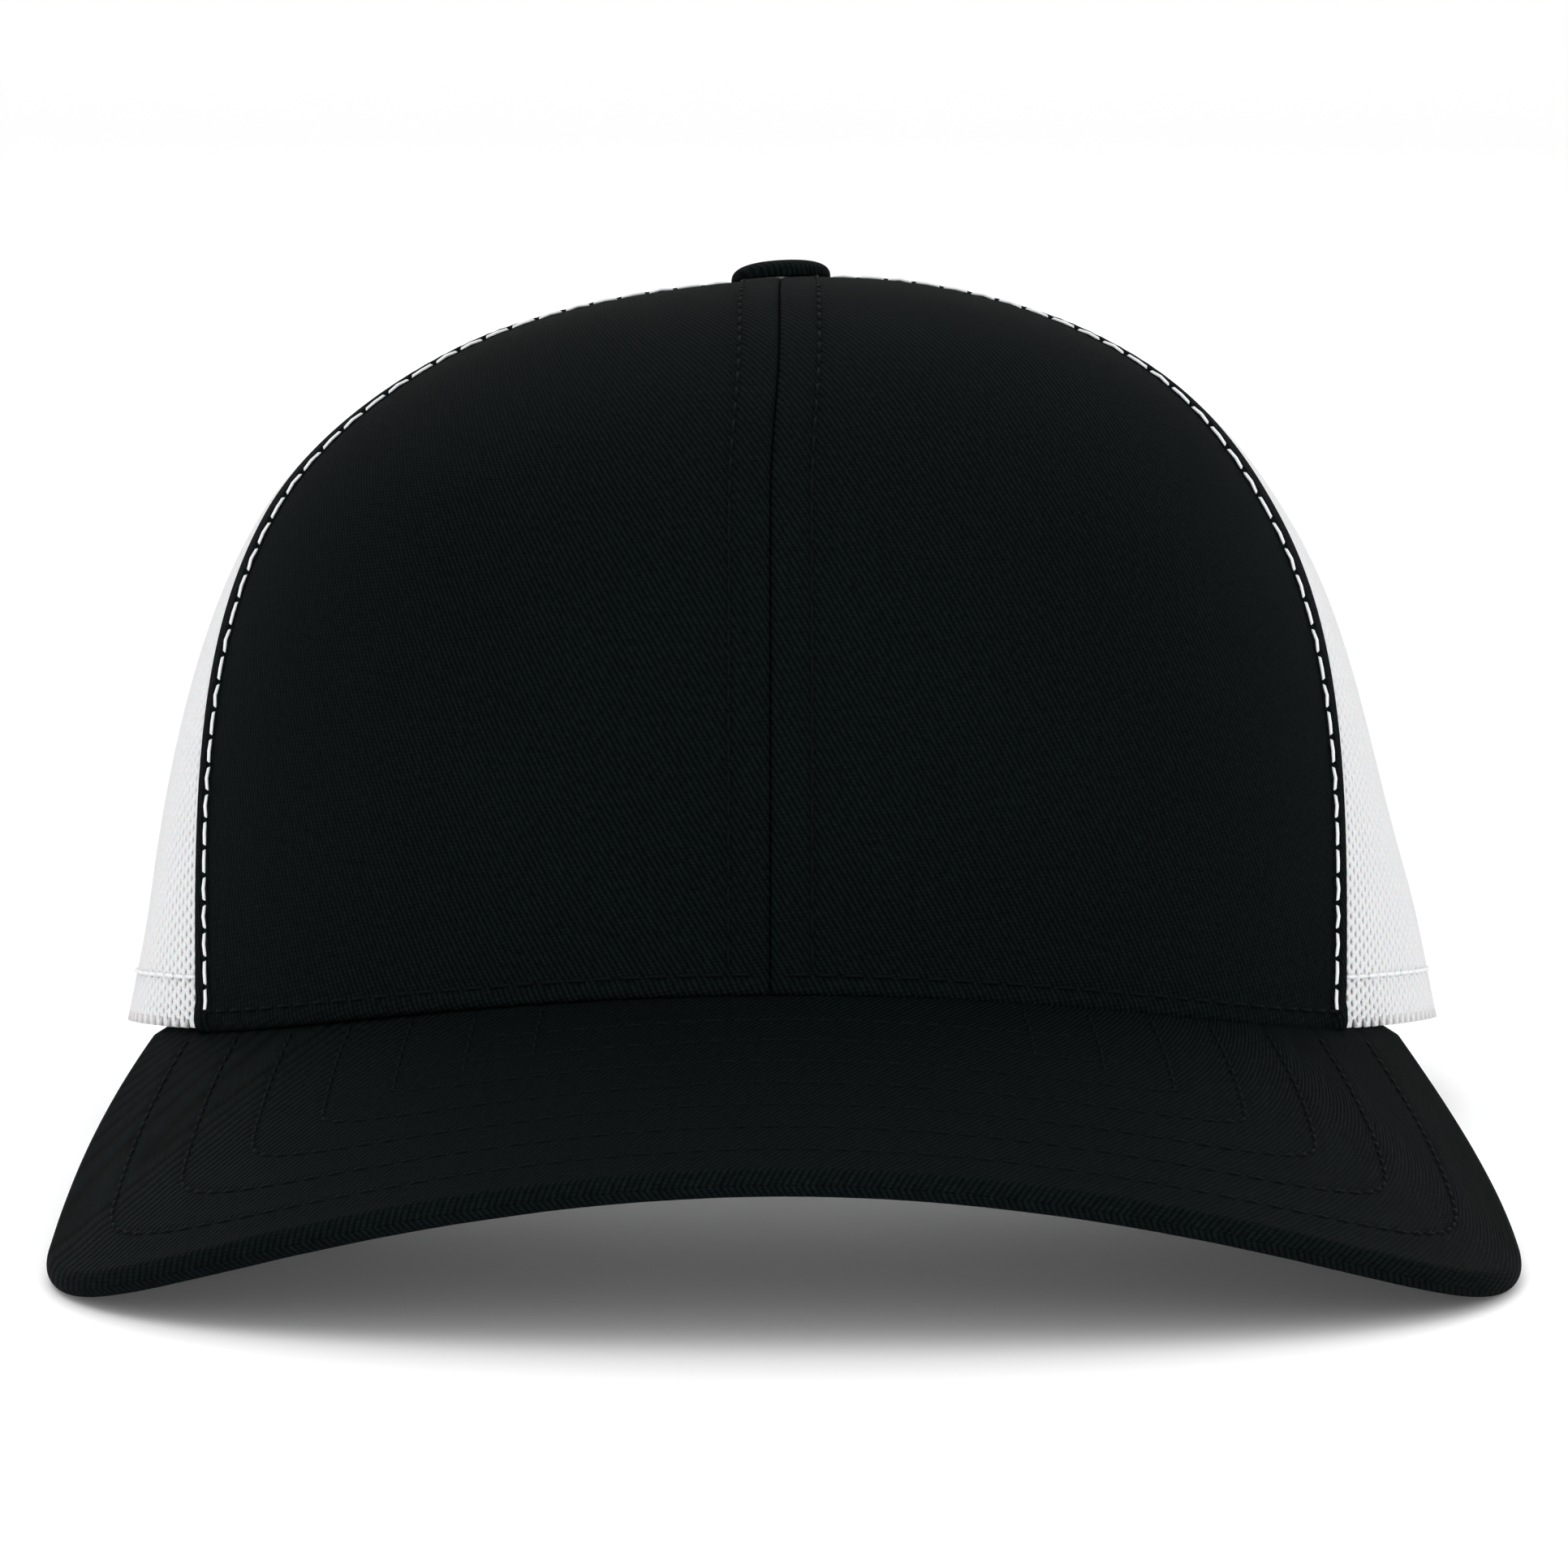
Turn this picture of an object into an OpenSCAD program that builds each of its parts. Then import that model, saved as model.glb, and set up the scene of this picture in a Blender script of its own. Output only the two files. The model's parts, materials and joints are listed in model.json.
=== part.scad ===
// Six-panel trucker cap with a curved visor and a snap strap, in millimetres.
// The cap is drawn with its opening in the plane z = 0, its front towards -Y and the wearer's left
// towards +X. Every node is then tipped back onto the tips of its visor and the rear of its hem, as
// the cap rests on a table, with the origin under the middle of its bounding box.

/* [Crown] */
// Half of the opening's width, side to side
half_width = 89; // [71:0.5:108]
// Reach of the opening ahead of the apex
front_reach = 97; // [78:0.5:120]
// Reach of the opening behind the apex
rear_reach = 95; // [76:0.5:118]
// Height of the apex above the opening
crown_height = 100.5; // [82:0.5:126]
// Height of the crown's front edge above the opening
front_rise = 6; // [2:0.5:10]
// Share by which the front wall leans in at the top
front_lean = 0.17; // [0:0.01:0.24]
// Share by which the side wall leans in at the top
side_lean = 0.22; // [0:0.01:0.28]
// Uprightness of the front wall, where 2 is an ellipse and more turns in higher up
front_fullness = 4; // [2.6:0.1:5.4]
// Uprightness of the side wall
side_fullness = 5; // [2.6:0.1:5.8]
// Uprightness of the rear wall
rear_fullness = 3.2; // [2.6:0.1:5.4]
// Fullness of the top, where 2 is an ellipse and more is flatter
top_fullness = 2; // [1.8:0.05:2.4]
// Radius of the hole that the panels leave at the apex
apex_hole = 3.4; // [2.5:0.1:5]

/* [Seams] */
// Angle from the front to the seam between front and side panels, at the hem
front_seam_angle = 57; // [48:1:66]
// How far that seam bows back above the hem, in degrees
front_seam_bow = 18; // [6:1:24]
// Angle from the front to the seam between side and rear panels, at the hem
rear_seam_angle = 118; // [108:1:128]
// How far that seam bows back above the hem, in degrees
rear_seam_bow = 6; // [0:1:12]

/* [Cloth layers] */
// Thickness of the crown's panels
cloth_thickness = 0.8; // [0.5:0.05:1.2]
// Thickness of the buckram behind the front panels
buckram_thickness = 0.55; // [0.3:0.05:0.9]
// Distance that the buckram keeps from the seams
buckram_inset = 2; // [1:0.5:5]
// Thickness of the seam tapes
tape_thickness = 0.5; // [0.3:0.05:0.8]
// Width of the seam tapes
tape_width = 12; // [8:0.5:16]
// Thickness of the sweatband
band_thickness = 0.95; // [0.6:0.05:1.4]
// Height of the sweatband
band_height = 30; // [22:0.5:38]
// Thickness of the pad inside the sweatband's front
pad_thickness = 1; // [0.6:0.05:1.6]
// Height of the pad
pad_height = 23; // [14:0.5:28]
// Angle that the pad covers to each side of the front
pad_angle = 52; // [36:1:56]
// Height of the sweatband's lower edge above the crown's edge
band_rise = 0.8; // [0.5:0.1:3]
// Clearance between layers that lie on each other
layer_gap = 0.15; // [0.15:0.01:0.3]

/* [Visor] */
// Reach of the visor ahead of the crown
visor_reach = 69; // [54:0.5:86]
// Half of the visor's width
visor_half_width = 90; // [76:0.5:108]
// Angle from the front to each corner of the visor
visor_angle = 65; // [56:1:70]
// Distance that each corner stands out past the crown
corner_overhang = 2; // [1:0.1:5]
// Distance ahead of the crown at which the visor is widest
widest_ahead = 15; // [8:0.5:24]
// Squareness of the visor's outline, where 2 is an ellipse
outline_fullness = 2.25; // [2:0.05:2.8]
// Slope of the visor, down towards the front, in degrees
visor_slope = 14.6; // [8:0.1:20]
// Thickness of each of the visor's covers
cover_thickness = 0.8; // [0.5:0.05:1.2]
// Thickness of the visor's board
board_thickness = 1.6; // [1:0.1:2.4]
// Clearance between the board and each cover
board_gap = 0.1; // [0.05:0.01:0.2]
// Distance that the board stays inside the visor's rim
board_inset = 1.5; // [1.3:0.1:3]
// Clearance between the crown's edge and the top of the visor
crown_clearance = 0.2; // [0.1:0.05:0.5]
// Distance that the visor reaches in under the crown
visor_tuck = 2.4; // [1:0.1:3]

/* [Rear opening] */
// Half of the arch's width at the hem
arch_half_width = 39; // [32:0.5:47]
// Height of the arch
arch_height = 48; // [38:0.5:58]
// Width of the binding on the mesh
binding_width = 6; // [4:0.5:8]
// Thickness of the binding's cloth
binding_thickness = 0.5; // [0.3:0.05:0.8]
// Clearance between the binding and the mesh
binding_gap = 0.3; // [0.25:0.05:0.5]

/* [Snap strap] */
// Width of the strap
strap_width = 20; // [16:0.5:24]
// Height of the strap's lower edge above the hem
strap_rise = 2; // [1:0.5:4]
// Thickness of the strap
strap_thickness = 1.6; // [1.2:0.05:2]
// Clearance between the strap and the binding outside it
strap_clearance = 0.2; // [0.15:0.05:0.6]
// Clearance between the two halves of the strap
strap_gap = 0.15; // [0.1:0.01:0.3]
// Clearance between the arch's binding and the strap where it swings out past it
hinge_inset = 0.9; // [0.6:0.1:2]
// Clearance between a strap's rounded end and its tab
hinge_gap = 0.3; // [0.2:0.05:0.4]
// Length of the tab sewn inside the hem
tab_length = 20; // [14:0.5:22]
// Spacing of the pegs and of the holes
peg_pitch = 8; // [7:0.1:9.6]
// Pegs to each side of the middle one that are snapped in
pegs_each_side = 2; // [1:1:2]
// Radius of a peg's shank
peg_radius = 1.5; // [1:0.05:1.8]
// Running clearance of a peg in its hole
peg_clearance = 0.3; // [0.1:0.05:0.5]
// How far a peg's head stands out past its hole's edge
head_overlap = 0.25; // [0.1:0.05:0.4]
// Height of a peg's head
head_height = 1.2; // [0.8:0.1:1.6]

/* [Button] */
// Radius of the button
button_radius = 6.8; // [5.5:0.1:8.5]
// Height of the button above the crown
button_height = 2.6; // [2.2:0.1:4]
// Thickness of the button's cloth
button_cloth = 0.5; // [0.3:0.05:0.6]
// Thickness of the button's metal shell
shell_thickness = 0.4; // [0.3:0.05:0.5]
// Radius of the tack's shank
shank_radius = 1.4; // [1:0.1:1.6]
// Radius of the tack's head inside the crown
tack_radius = 5.5; // [4.5:0.1:7]
// Thickness of the tack's head
tack_thickness = 0.8; // [0.5:0.1:1.2]

/* [Hidden] */

black_twill = [0.06, 0.07, 0.08];
white_tape = [0.85, 0.86, 0.87];
white_mesh = [0.9, 0.91, 0.92];
white_plastic = [0.93, 0.93, 0.92];
grey_board = [0.55, 0.56, 0.57];
steel = [0.7, 0.71, 0.72];

round_fn = 64;      // fineness of round edges; the exact solids have true circles
panel_rows = 16;    // rows of facets from hem to apex
row_power = 1.8;    // evens out the rows' heights
reach_step = 0.5;   // half step in degrees of the slopes that give a normal
row_step = 0.01;    // half step in rows' share of the same
joint = 0.01;       // overlap that joins solids of one piece

// Depths of the layers below the crown's outer face, each worked out from the one before
buckram_depth = cloth_thickness + layer_gap;
tape_depth = buckram_depth + buckram_thickness + layer_gap;
pad_depth = tape_depth + tape_thickness + layer_gap;
band_depth = pad_depth + pad_thickness + layer_gap;

// The visor's rolled surface meets the plane of the opening at its corners
slope_ratio = tan(visor_slope);
corner_x = half_width * sin(visor_angle);
corner_y = -front_reach * cos(visor_angle);
corner_drop = front_rise + slope_ratio * (corner_y + front_reach);
roll_radius = (pow(corner_x, 2) + pow(corner_drop, 2)) / (2 * corner_drop);
visor_thickness = 2 * cover_thickness + 2 * board_gap + board_thickness;
widest_y = -front_reach - widest_ahead;
front_part = 0.66;  // share of half the outline that the rounded front takes

// The edge is steepest at the visor's corners, and a wall that leans in takes its inner face down
// too, so the crown's inner layers start higher
steepest = norm([slope_ratio, corner_x / sqrt(pow(roll_radius, 2) - pow(corner_x, 2))]);
crown_gap = cloth_thickness * steepest + crown_clearance;
layer_rise = (tape_depth + tape_thickness - cloth_thickness) * (steepest + side_lean)
    + crown_clearance;

// The strap's hinges stand inside the arch's binding at the height of the strap's top, so that
// the strap swings out past it
binding_fold = binding_gap + binding_thickness;
arch_angle = asin(arch_half_width / half_width);
arch_turn = asin((strap_rise + strap_width) / (arch_height - binding_fold));
arch_side = level_point(180 - (arch_angle - arc_angle(binding_fold, half_width)) * cos(arch_turn),
    strap_rise + strap_width);
hinge_x = arch_side[0] - strap_thickness / 2 - hinge_inset;

// The strap follows the circle that fits the rear of the opening, or the one through the ends of
// its tabs where that is smaller, inside the binding at the height of the strap's top
tab_end_x = hinge_x + tab_length;
tab_end_drop = rear_reach * (1 - sqrt(1 - pow(tab_end_x / half_width, 2)));
ring_radius = min(
    pow(half_width, 2) / rear_reach,
    (pow(tab_end_x, 2) + pow(tab_end_drop, 2)) / (2 * tab_end_drop)
);
ring_y = rear_reach - ring_radius;
wall_lean = rear_reach - level_point(180, strap_rise + strap_width)[1];
hole_strap_outer = ring_radius - wall_lean - cloth_thickness - binding_fold - strap_clearance;
hole_strap_inner = hole_strap_outer - strap_thickness;
peg_strap_outer = hole_strap_inner - strap_gap;
peg_strap_inner = peg_strap_outer - strap_thickness;
pitch_angle = arc_angle(peg_pitch, hole_strap_inner);
tip_margin = 4.6;   // length of strap past the last peg or hole
tip_angle = pegs_each_side * pitch_angle + arc_angle(tip_margin, hole_strap_inner);
root_margin = 4;    // length of strap kept whole beside the hinge
free_pegs = floor((asin(hinge_x / hole_strap_outer) - arc_angle(root_margin, hole_strap_inner))
    / pitch_angle) - pegs_each_side;
hole_radius = peg_radius + peg_clearance;
head_radius = hole_radius + head_overlap;

// The sweatband steps in behind the strap's tabs and stops beside the arch
tab_clearance = 0.65;
tab_band_depth = ring_radius - peg_strap_inner + tab_clearance;
tab_edge_angle = 180 - asin(tab_end_x / half_width);
band_end_angle = 180 - asin((arch_half_width + 4.5) / half_width);

function arc_angle(length, radius) = length / radius * 180 / PI;
function mix(a, b, share) = a + (b - a) * share;
function unit(v) = v / norm(v);

// Eased step from 0 at a to 1 at b
function ease(a, b, x) =
    let (u = min(1, max(0, (x - a) / (b - a)))) u * u * (3 - 2 * u);

// A value at an angle from the front, blended from its front, side and rear values
function around(angle, front, side, rear) =
    mix(mix(front, side, ease(15, 70, abs(angle))), rear, ease(100, 140, abs(angle)));

// The opening's outline at an angle from the front
function oval(angle) =
    [half_width * sin(angle), -(cos(angle) > 0 ? front_reach : rear_reach) * cos(angle)];

// Height of the surface on which the crown's front edge lies: a sloping plane rolled about a
// line towards the front
function edge_height(x, y) =
    front_rise + slope_ratio * (y + front_reach)
        - (roll_radius - sqrt(pow(roll_radius, 2) - pow(x, 2)));

function crown_base(angle) =
    abs(angle) < visor_angle ? edge_height(oval(angle)[0], oval(angle)[1]) : 0;

// The profile's angle, 0 at the hem and 90 at the apex, for a share v of the way up
function profile_angle(v) = 90 * pow(v, row_power);
function profile_share(angle) = pow(angle / 90, 1 / row_power);

// A point of the crown's outer face: a superellipse from the hem to the apex that leans in
function crown_point(angle, v) =
    let (
        up = pow(sin(profile_angle(v)), 2 / around(angle, front_fullness, side_fullness, rear_fullness)),
        lean = around(angle, front_lean, side_lean, 0) * up,
        out = (1 - lean) * pow(cos(profile_angle(v)), 2 / top_fullness),
        base = crown_base(angle),
        edge = oval(angle)
    )
    [edge[0] * out, edge[1] * out, base + (crown_height - base) * up];

function crown_normal(angle, v) =
    unit(cross(
        crown_point(angle + reach_step, v) - crown_point(angle - reach_step, v),
        crown_point(angle, v + row_step) - crown_point(angle, max(0, v - row_step))
    ));

// A point at a depth below the crown's outer face
function layer_point(angle, v, depth) = crown_point(angle, v) - depth * crown_normal(angle, v);

// The share v at which the crown stands a given height above its own edge
function level(angle, rise) =
    let (
        up = rise / (crown_height - crown_base(angle)),
        fullness = around(angle, front_fullness, side_fullness, rear_fullness)
    )
    profile_share(asin(pow(up, fullness / 2)));

// The point of the crown's outer face at a height above its own edge
function level_point(angle, rise) = crown_point(angle, level(angle, rise));

// The share v at which the crown is a given radius from the apex's axis, near the apex
function near_apex(radius) =
    profile_share(acos(pow(radius / (half_width * (1 - side_lean)), top_fullness / 2)));

top_share = near_apex(apex_hole);

// Angles of the seams at a share v of the way up
function front_seam(v) =
    front_seam_angle + front_seam_bow * sin(110 * pow(sin(profile_angle(v)), 2.4 / side_fullness));
function rear_seam(v) = rear_seam_angle + rear_seam_bow * sin(150 / 90 * profile_angle(v));

// Rows from one share to another that keep the panels' own rows in between
function rows(from, to) =
    let (step = top_share / panel_rows)
    concat(
        [from],
        [for (i = [1 : panel_rows - 1]) if (i * step > from + step / 3 && i * step < to - step / 3) i * step],
        [to]
    );

// A closed piece between two grids of points with the same number of columns and rows. Seen from
// the first grid's side, the columns run to the right and the rows upward.
module slab(outer, inner) {
    columns = len(outer);
    height = len(outer[0]);
    count = columns * height;
    function at(i, j) = i * height + j;
    function side(i, j, k, l) =
        [[at(i, j), at(k, l), at(k, l) + count], [at(i, j), at(k, l) + count, at(i, j) + count]];
    function facing_side(i, j, k, l) =
        [[at(i, j), at(k, l), at(i, j) + count], [at(k, l), at(k, l) + count, at(i, j) + count]];
    points = concat([for (column = outer) each column], [for (column = inner) each column]);
    faces = concat(
        [for (i = [0 : columns - 2], j = [0 : height - 2]) each [
            [at(i, j), at(i, j + 1), at(i + 1, j + 1)],
            [at(i, j), at(i + 1, j + 1), at(i + 1, j)],
            [at(i, j) + count, at(i + 1, j) + count, at(i + 1, j + 1) + count],
            [at(i, j) + count, at(i + 1, j + 1) + count, at(i, j + 1) + count]
        ]],
        [for (i = [0 : columns - 2]) each concat(
            side(i, 0, i + 1, 0),
            side(i + 1, height - 1, i, height - 1)
        )],
        [for (j = [0 : height - 2]) each concat(
            facing_side(0, j + 1, 0, j),
            side(columns - 1, j, columns - 1, j + 1)
        )]
    );
    polyhedron(points, faces, convexity = 6);
}

// A layer of the crown between two depths, from a list of columns that are each a list of
// [angle, share] pairs
module crown_layer(columns, depth, thickness) {
    slab(
        [for (column = columns) [for (p = column) layer_point(p[0], p[1], depth)]],
        [for (column = columns) [for (p = column) layer_point(p[0], p[1], depth + thickness)]]
    );
}

// Tips the cap back onto its visor's tips and its rear hem, and centres it
module at_rest() {
    translate([0, -middle_y, -floor_z]) rotate([-rest_tilt, 0, 0]) children();
}

module on_the_left() { at_rest() children(); }
module on_the_right() { at_rest() mirror([1, 0, 0]) children(); }

// ---- crown panels, drawn for the wearer's left ----

front_columns = 12;
side_columns = 11;
rear_columns = 5;
arch_columns = 7;

module front_panel() {
    color(black_twill)
    crown_layer(
        [for (i = [0 : front_columns])
            [for (v = rows(0, top_share)) [front_seam(v) * i / front_columns, v]]],
        0, cloth_thickness
    );
}

module side_panel() {
    color(white_mesh)
    crown_layer(
        [for (i = [0 : side_columns])
            [for (v = rows(0, top_share)) [mix(front_seam(v), rear_seam(v), i / side_columns), v]]],
        0, cloth_thickness
    );
}

// A column of the rear panel, from a starting angle and share up to the apex
function rear_column(angle, start) =
    let (share = (angle - rear_seam(start)) / (180 - rear_seam(start)))
    [for (i = [0 : panel_rows])
        let (v = mix(start, top_share, i / panel_rows)) [mix(rear_seam(v), 180, share), v]];

// Where the arch's edge is at a turn from 0 at the hem to 90 at its top, and at a distance
// outside that edge
function arch_place(turn, outside) =
    let (
        angle = 180 - (arch_angle + arc_angle(outside, half_width)) * cos(turn),
        rise = (arch_height + outside) * sin(turn)
    )
    [angle, level(angle, rise)];

module rear_panel() {
    color(white_mesh)
    crown_layer(
        concat(
            [for (i = [0 : rear_columns - 1])
                rear_column(mix(rear_seam_angle, 180 - arch_angle, i / rear_columns), 0)],
            [for (i = [0 : arch_columns])
                let (place = arch_place(90 * i / arch_columns, 0)) rear_column(place[0], place[1])]
        ),
        0, cloth_thickness
    );
}

// ---- what lies behind the panels ----

// Degrees about the apex's axis that a length takes at a share v of the way up
function width_angle(v, length) =
    let (p = crown_point(90, v)) arc_angle(length, norm([p[0], p[1]]));

// A seam's allowance, which narrows to a share of 60 degrees where the seams meet
function half_tape(v) = min(width_angle(v, tape_width / 2), 24);

hem_share = level(90, layer_rise);
tape_top = near_apex(apex_hole + 1.4);

module buckram() {
    color(white_mesh)
    crown_layer(
        [for (i = [0 : front_columns])
            [for (v = rows(hem_share, near_apex(apex_hole + 3)))
                let (inset = min(width_angle(v, buckram_inset), 12))
                [mix(inset, front_seam(v) - inset, i / front_columns), v]]],
        buckram_depth, buckram_thickness
    );
}

// A tape centred on a seam whose angles up the crown are given by the seam's number: 0 centre
// front, 1 front to side, 2 side to rear, 3 centre rear
function seam_angle(seam, v) = [0, front_seam(v), rear_seam(v), 180][seam];

module seam_tape(seam, start) {
    color(white_tape)
    crown_layer(
        [for (side = [-1, 0, 1])
            [for (v = rows(start, tape_top)) [seam_angle(seam, v) + side * half_tape(v), v]]],
        tape_depth, tape_thickness
    );
}

band_columns = 60;
band_levels = 4;
pad_columns = 28;
pad_levels = 3;

// Depth of the sweatband at an angle, which grows where it passes inside the strap's tabs
function band_depth_at(angle) =
    mix(band_depth, tab_band_depth, ease(tab_edge_angle - 22, tab_edge_angle - 4, abs(angle)));

function band_points(extra) =
    [for (i = [0 : band_columns])
        let (angle = mix(-band_end_angle, band_end_angle, i / band_columns))
        [for (j = [0 : band_levels])
            layer_point(angle, level(angle, band_rise + band_height * j / band_levels),
                band_depth_at(angle) + extra)]];

module sweatband() {
    color(white_tape)
    slab(band_points(0), band_points(band_thickness));
}

module sweatband_pad() {
    start = band_rise + (band_height - pad_height) / 2;
    color(white_mesh)
    crown_layer(
        [for (i = [0 : pad_columns])
            let (angle = mix(-pad_angle, pad_angle, i / pad_columns))
            [for (j = [0 : pad_levels]) [angle, level(angle, start + pad_height * j / pad_levels)]]],
        pad_depth, pad_thickness
    );
}

binding_steps = 32;
binding_start = 1.5;  // turn at which the binding's ends stand just clear of the hem

// The binding folds over the arch's edge: a channel of eight corners, each a distance outside
// the edge and a depth, carried along the arch
module rear_arch_binding() {
    outer = -binding_gap;
    inner = cloth_thickness + binding_gap;
    corners = [
        [binding_width, outer - binding_thickness], [-binding_fold, outer - binding_thickness],
        [-binding_fold, inner + binding_thickness], [binding_width, inner + binding_thickness],
        [binding_width, inner], [-binding_gap, inner],
        [-binding_gap, outer], [binding_width, outer]
    ];
    count = len(corners);
    points = [
        for (i = [0 : binding_steps])
            let (turn = mix(binding_start, 180 - binding_start, i / binding_steps))
            for (c = corners)
                let (place = arch_place(turn, c[0])) layer_point(place[0], place[1], c[1])
    ];
    last = binding_steps * count;
    leg_quads = [[0, 1, 6, 7], [1, 2, 5, 6], [2, 3, 4, 5]];
    faces = concat(
        [for (i = [0 : binding_steps - 1], k = [0 : count - 1])
            let (a = i * count + k, b = i * count + (k + 1) % count)
            each [[a, b, b + count], [a, b + count, a + count]]],
        [for (q = leg_quads) each [[q[2], q[1], q[0]], [q[3], q[2], q[0]]]],
        [for (q = leg_quads) each [
            [last + q[0], last + q[1], last + q[2]], [last + q[0], last + q[2], last + q[3]]
        ]]
    );
    color(white_mesh) polyhedron(points, faces, convexity = 6);
}

// ---- visor ----

visor_columns = 32;
visor_rows = 5;

// The visor's outline from one corner, q = -1, round the front, to the other, q = 1
function outline(q) =
    let (s = abs(q), turn = 90 * min(1, s / front_part), past = max(0, (s - front_part) / (1 - front_part)))
    [
        sign(q) * (visor_half_width * pow(sin(turn), 2 / outline_fullness)
            - (visor_half_width - corner_x - corner_overhang) * pow(past, 2)),
        widest_y - (visor_reach - widest_ahead) * pow(cos(turn), 2 / outline_fullness)
            + (corner_y - widest_y) * past
    ];

// The outline moved in by a distance, square to itself
function inset_outline(q, distance) =
    let (
        a = max(-1, q - 0.01),
        b = min(1, q + 0.01),
        along = unit(outline(b) - outline(a))
    )
    outline(q) + distance * [-along[1], along[0]];

function tucked_edge(q) =
    let (edge = oval(visor_angle * q)) edge * (1 - visor_tuck / norm(edge));

// A point at a depth below the visor's top
function visor_point(place, depth) =
    let (
        x = place[0],
        normal = unit([x / sqrt(pow(roll_radius, 2) - pow(x, 2)), -slope_ratio, 1])
    )
    [x, place[1], edge_height(x, place[1]) - crown_gap] - depth * normal;

// Columns across the visor. Each row is [share from the crown's edge to the rim, distance in from
// the rim, depth], and the share is of the way to that distance.
function visor_grid(rows) =
    [for (i = [0 : visor_columns])
        let (q = 1 - 2 * i / visor_columns)
        [for (r = rows) visor_point(mix(tucked_edge(q), inset_outline(q, r[1]), r[0]), r[2])]];

function flat_rows(inset, depth) = [for (j = [0 : visor_rows]) [j / visor_rows, inset, depth]];

// Rows of a cover's outer and inner faces, from the crown to the rim, where the covers meet at
// half of the visor's thickness; face 0 is the top and face 1 the underside
function face_depth(face, depth) = face == 0 ? depth : visor_thickness - depth;
middle_depth = visor_thickness / 2;
seam_reach = 0.8;  // width over which the covers lie on each other at the rim

function cover_outer(face) = concat(
    flat_rows(board_inset, face_depth(face, 0)),
    [[1, 0.6, face_depth(face, 0.15)], [1, 0.15, face_depth(face, middle_depth / 2)],
        [1, 0, middle_depth]]
);
function cover_inner(face) = concat(
    flat_rows(board_inset, face_depth(face, cover_thickness)),
    [[1, 1.15, face_depth(face, cover_thickness + 0.05)],
        [1, seam_reach + 0.15, face_depth(face, middle_depth * 0.75)], [1, seam_reach, middle_depth]]
);

module visor_top_cover() {
    color(black_twill) slab(visor_grid(cover_outer(0)), visor_grid(cover_inner(0)));
}

module visor_under_cover() {
    color(black_twill) slab(visor_grid(cover_inner(1)), visor_grid(cover_outer(1)));
}

module visor_board() {
    top = cover_thickness + board_gap;
    color(grey_board)
    slab(
        visor_grid(flat_rows(board_inset, top)),
        visor_grid(flat_rows(board_inset, top + board_thickness))
    );
}

// ---- button ----

button_seat = crown_height + layer_gap;
shell_gap = 0.05;
hub_wall = 1;
tack_seat = crown_height - tape_depth - tape_thickness - 2 * layer_gap;

// A cap cut from a sphere, with a given radius and height at its base
module dome(radius, height) {
    sphere_radius = (pow(radius, 2) + pow(height, 2)) / (2 * height);
    intersection() {
        translate([0, 0, height - sphere_radius]) sphere(r = sphere_radius, $fn = round_fn);
        cylinder(r = radius + 1, h = height + 1, $fn = round_fn);
    }
}

module dome_shell(radius, height, wall) {
    difference() {
        dome(radius, height);
        translate([0, 0, -joint]) dome(radius - wall, height - wall + joint);
    }
}

module button_cover() {
    color(black_twill) translate([0, 0, button_seat]) dome_shell(button_radius, button_height, button_cloth);
}

module button_shell() {
    radius = button_radius - button_cloth - shell_gap;
    height = button_height - button_cloth - shell_gap;
    hub_radius = shank_radius + shell_gap + hub_wall;
    color(steel) translate([0, 0, button_seat]) {
        difference() {
            union() {
                dome_shell(radius, height, shell_thickness);
                intersection() {
                    dome(radius, height);
                    cylinder(r = hub_radius, h = height, $fn = round_fn);
                }
            }
            translate([0, 0, -joint])
                cylinder(r = shank_radius + shell_gap, h = height - shell_thickness, $fn = round_fn);
        }
    }
}

module button_tack() {
    shank_top = button_seat + button_height - button_cloth - 2 * shell_thickness - 2 * shell_gap;
    color(steel) {
        translate([0, 0, tack_seat - tack_thickness])
            cylinder(r = tack_radius, h = tack_thickness, $fn = round_fn);
        translate([0, 0, tack_seat - joint])
            cylinder(r = shank_radius, h = shank_top - tack_seat, $fn = round_fn);
    }
}

// ---- snap strap: angles are taken from the middle of the rear, and the sides are mirrored ----

strap_middle = strap_rise + strap_width / 2;
tip_radius = strap_width / 2 + 1;
knuckle_radius = strap_thickness / 2 - 0.05;

// A band of the strap's height between two radii of the rear circle and two angles
module band(inner, outer, from, to, grow = 0) {
    translate([0, ring_y, strap_rise - grow])
    rotate([0, 0, 90 - to])
    rotate_extrude(angle = to - from, $fn = round_fn)
    translate([inner, 0]) square([outer - inner, strap_width + 2 * grow]);
}

// A cylinder whose axis points out from the rear circle's centre at an angle and mid-height
module radial(angle, radius, from, to) {
    translate([0, ring_y, strap_middle])
    rotate([0, 0, 90 - angle])
    rotate([0, 90, 0])
    translate([0, 0, from]) cylinder(r = radius, h = to - from, $fn = round_fn);
}

// A standing cylinder on a hinge's axis
module on_hinge(middle_radius, radius, grow) {
    angle = asin(hinge_x / middle_radius);
    translate([hinge_x, ring_y + middle_radius * cos(angle), strap_rise - grow])
        cylinder(r = radius, h = strap_width + 2 * grow, $fn = round_fn);
}

// Half of the strap from its hinge, on the +X side, to a rounded tip past the middle
module strap_body(inner, outer) {
    middle = (inner + outer) / 2;
    round_angle = tip_angle - arc_angle(tip_radius, outer);
    intersection() {
        band(inner, outer, -tip_angle - 1, asin(hinge_x / middle));
        union() {
            band(inner - 2, outer + 2, -round_angle, 60, 2);
            radial(-round_angle, tip_radius, inner - 1, outer + 1);
        }
    }
    on_hinge(middle, knuckle_radius, 0);
}

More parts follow.
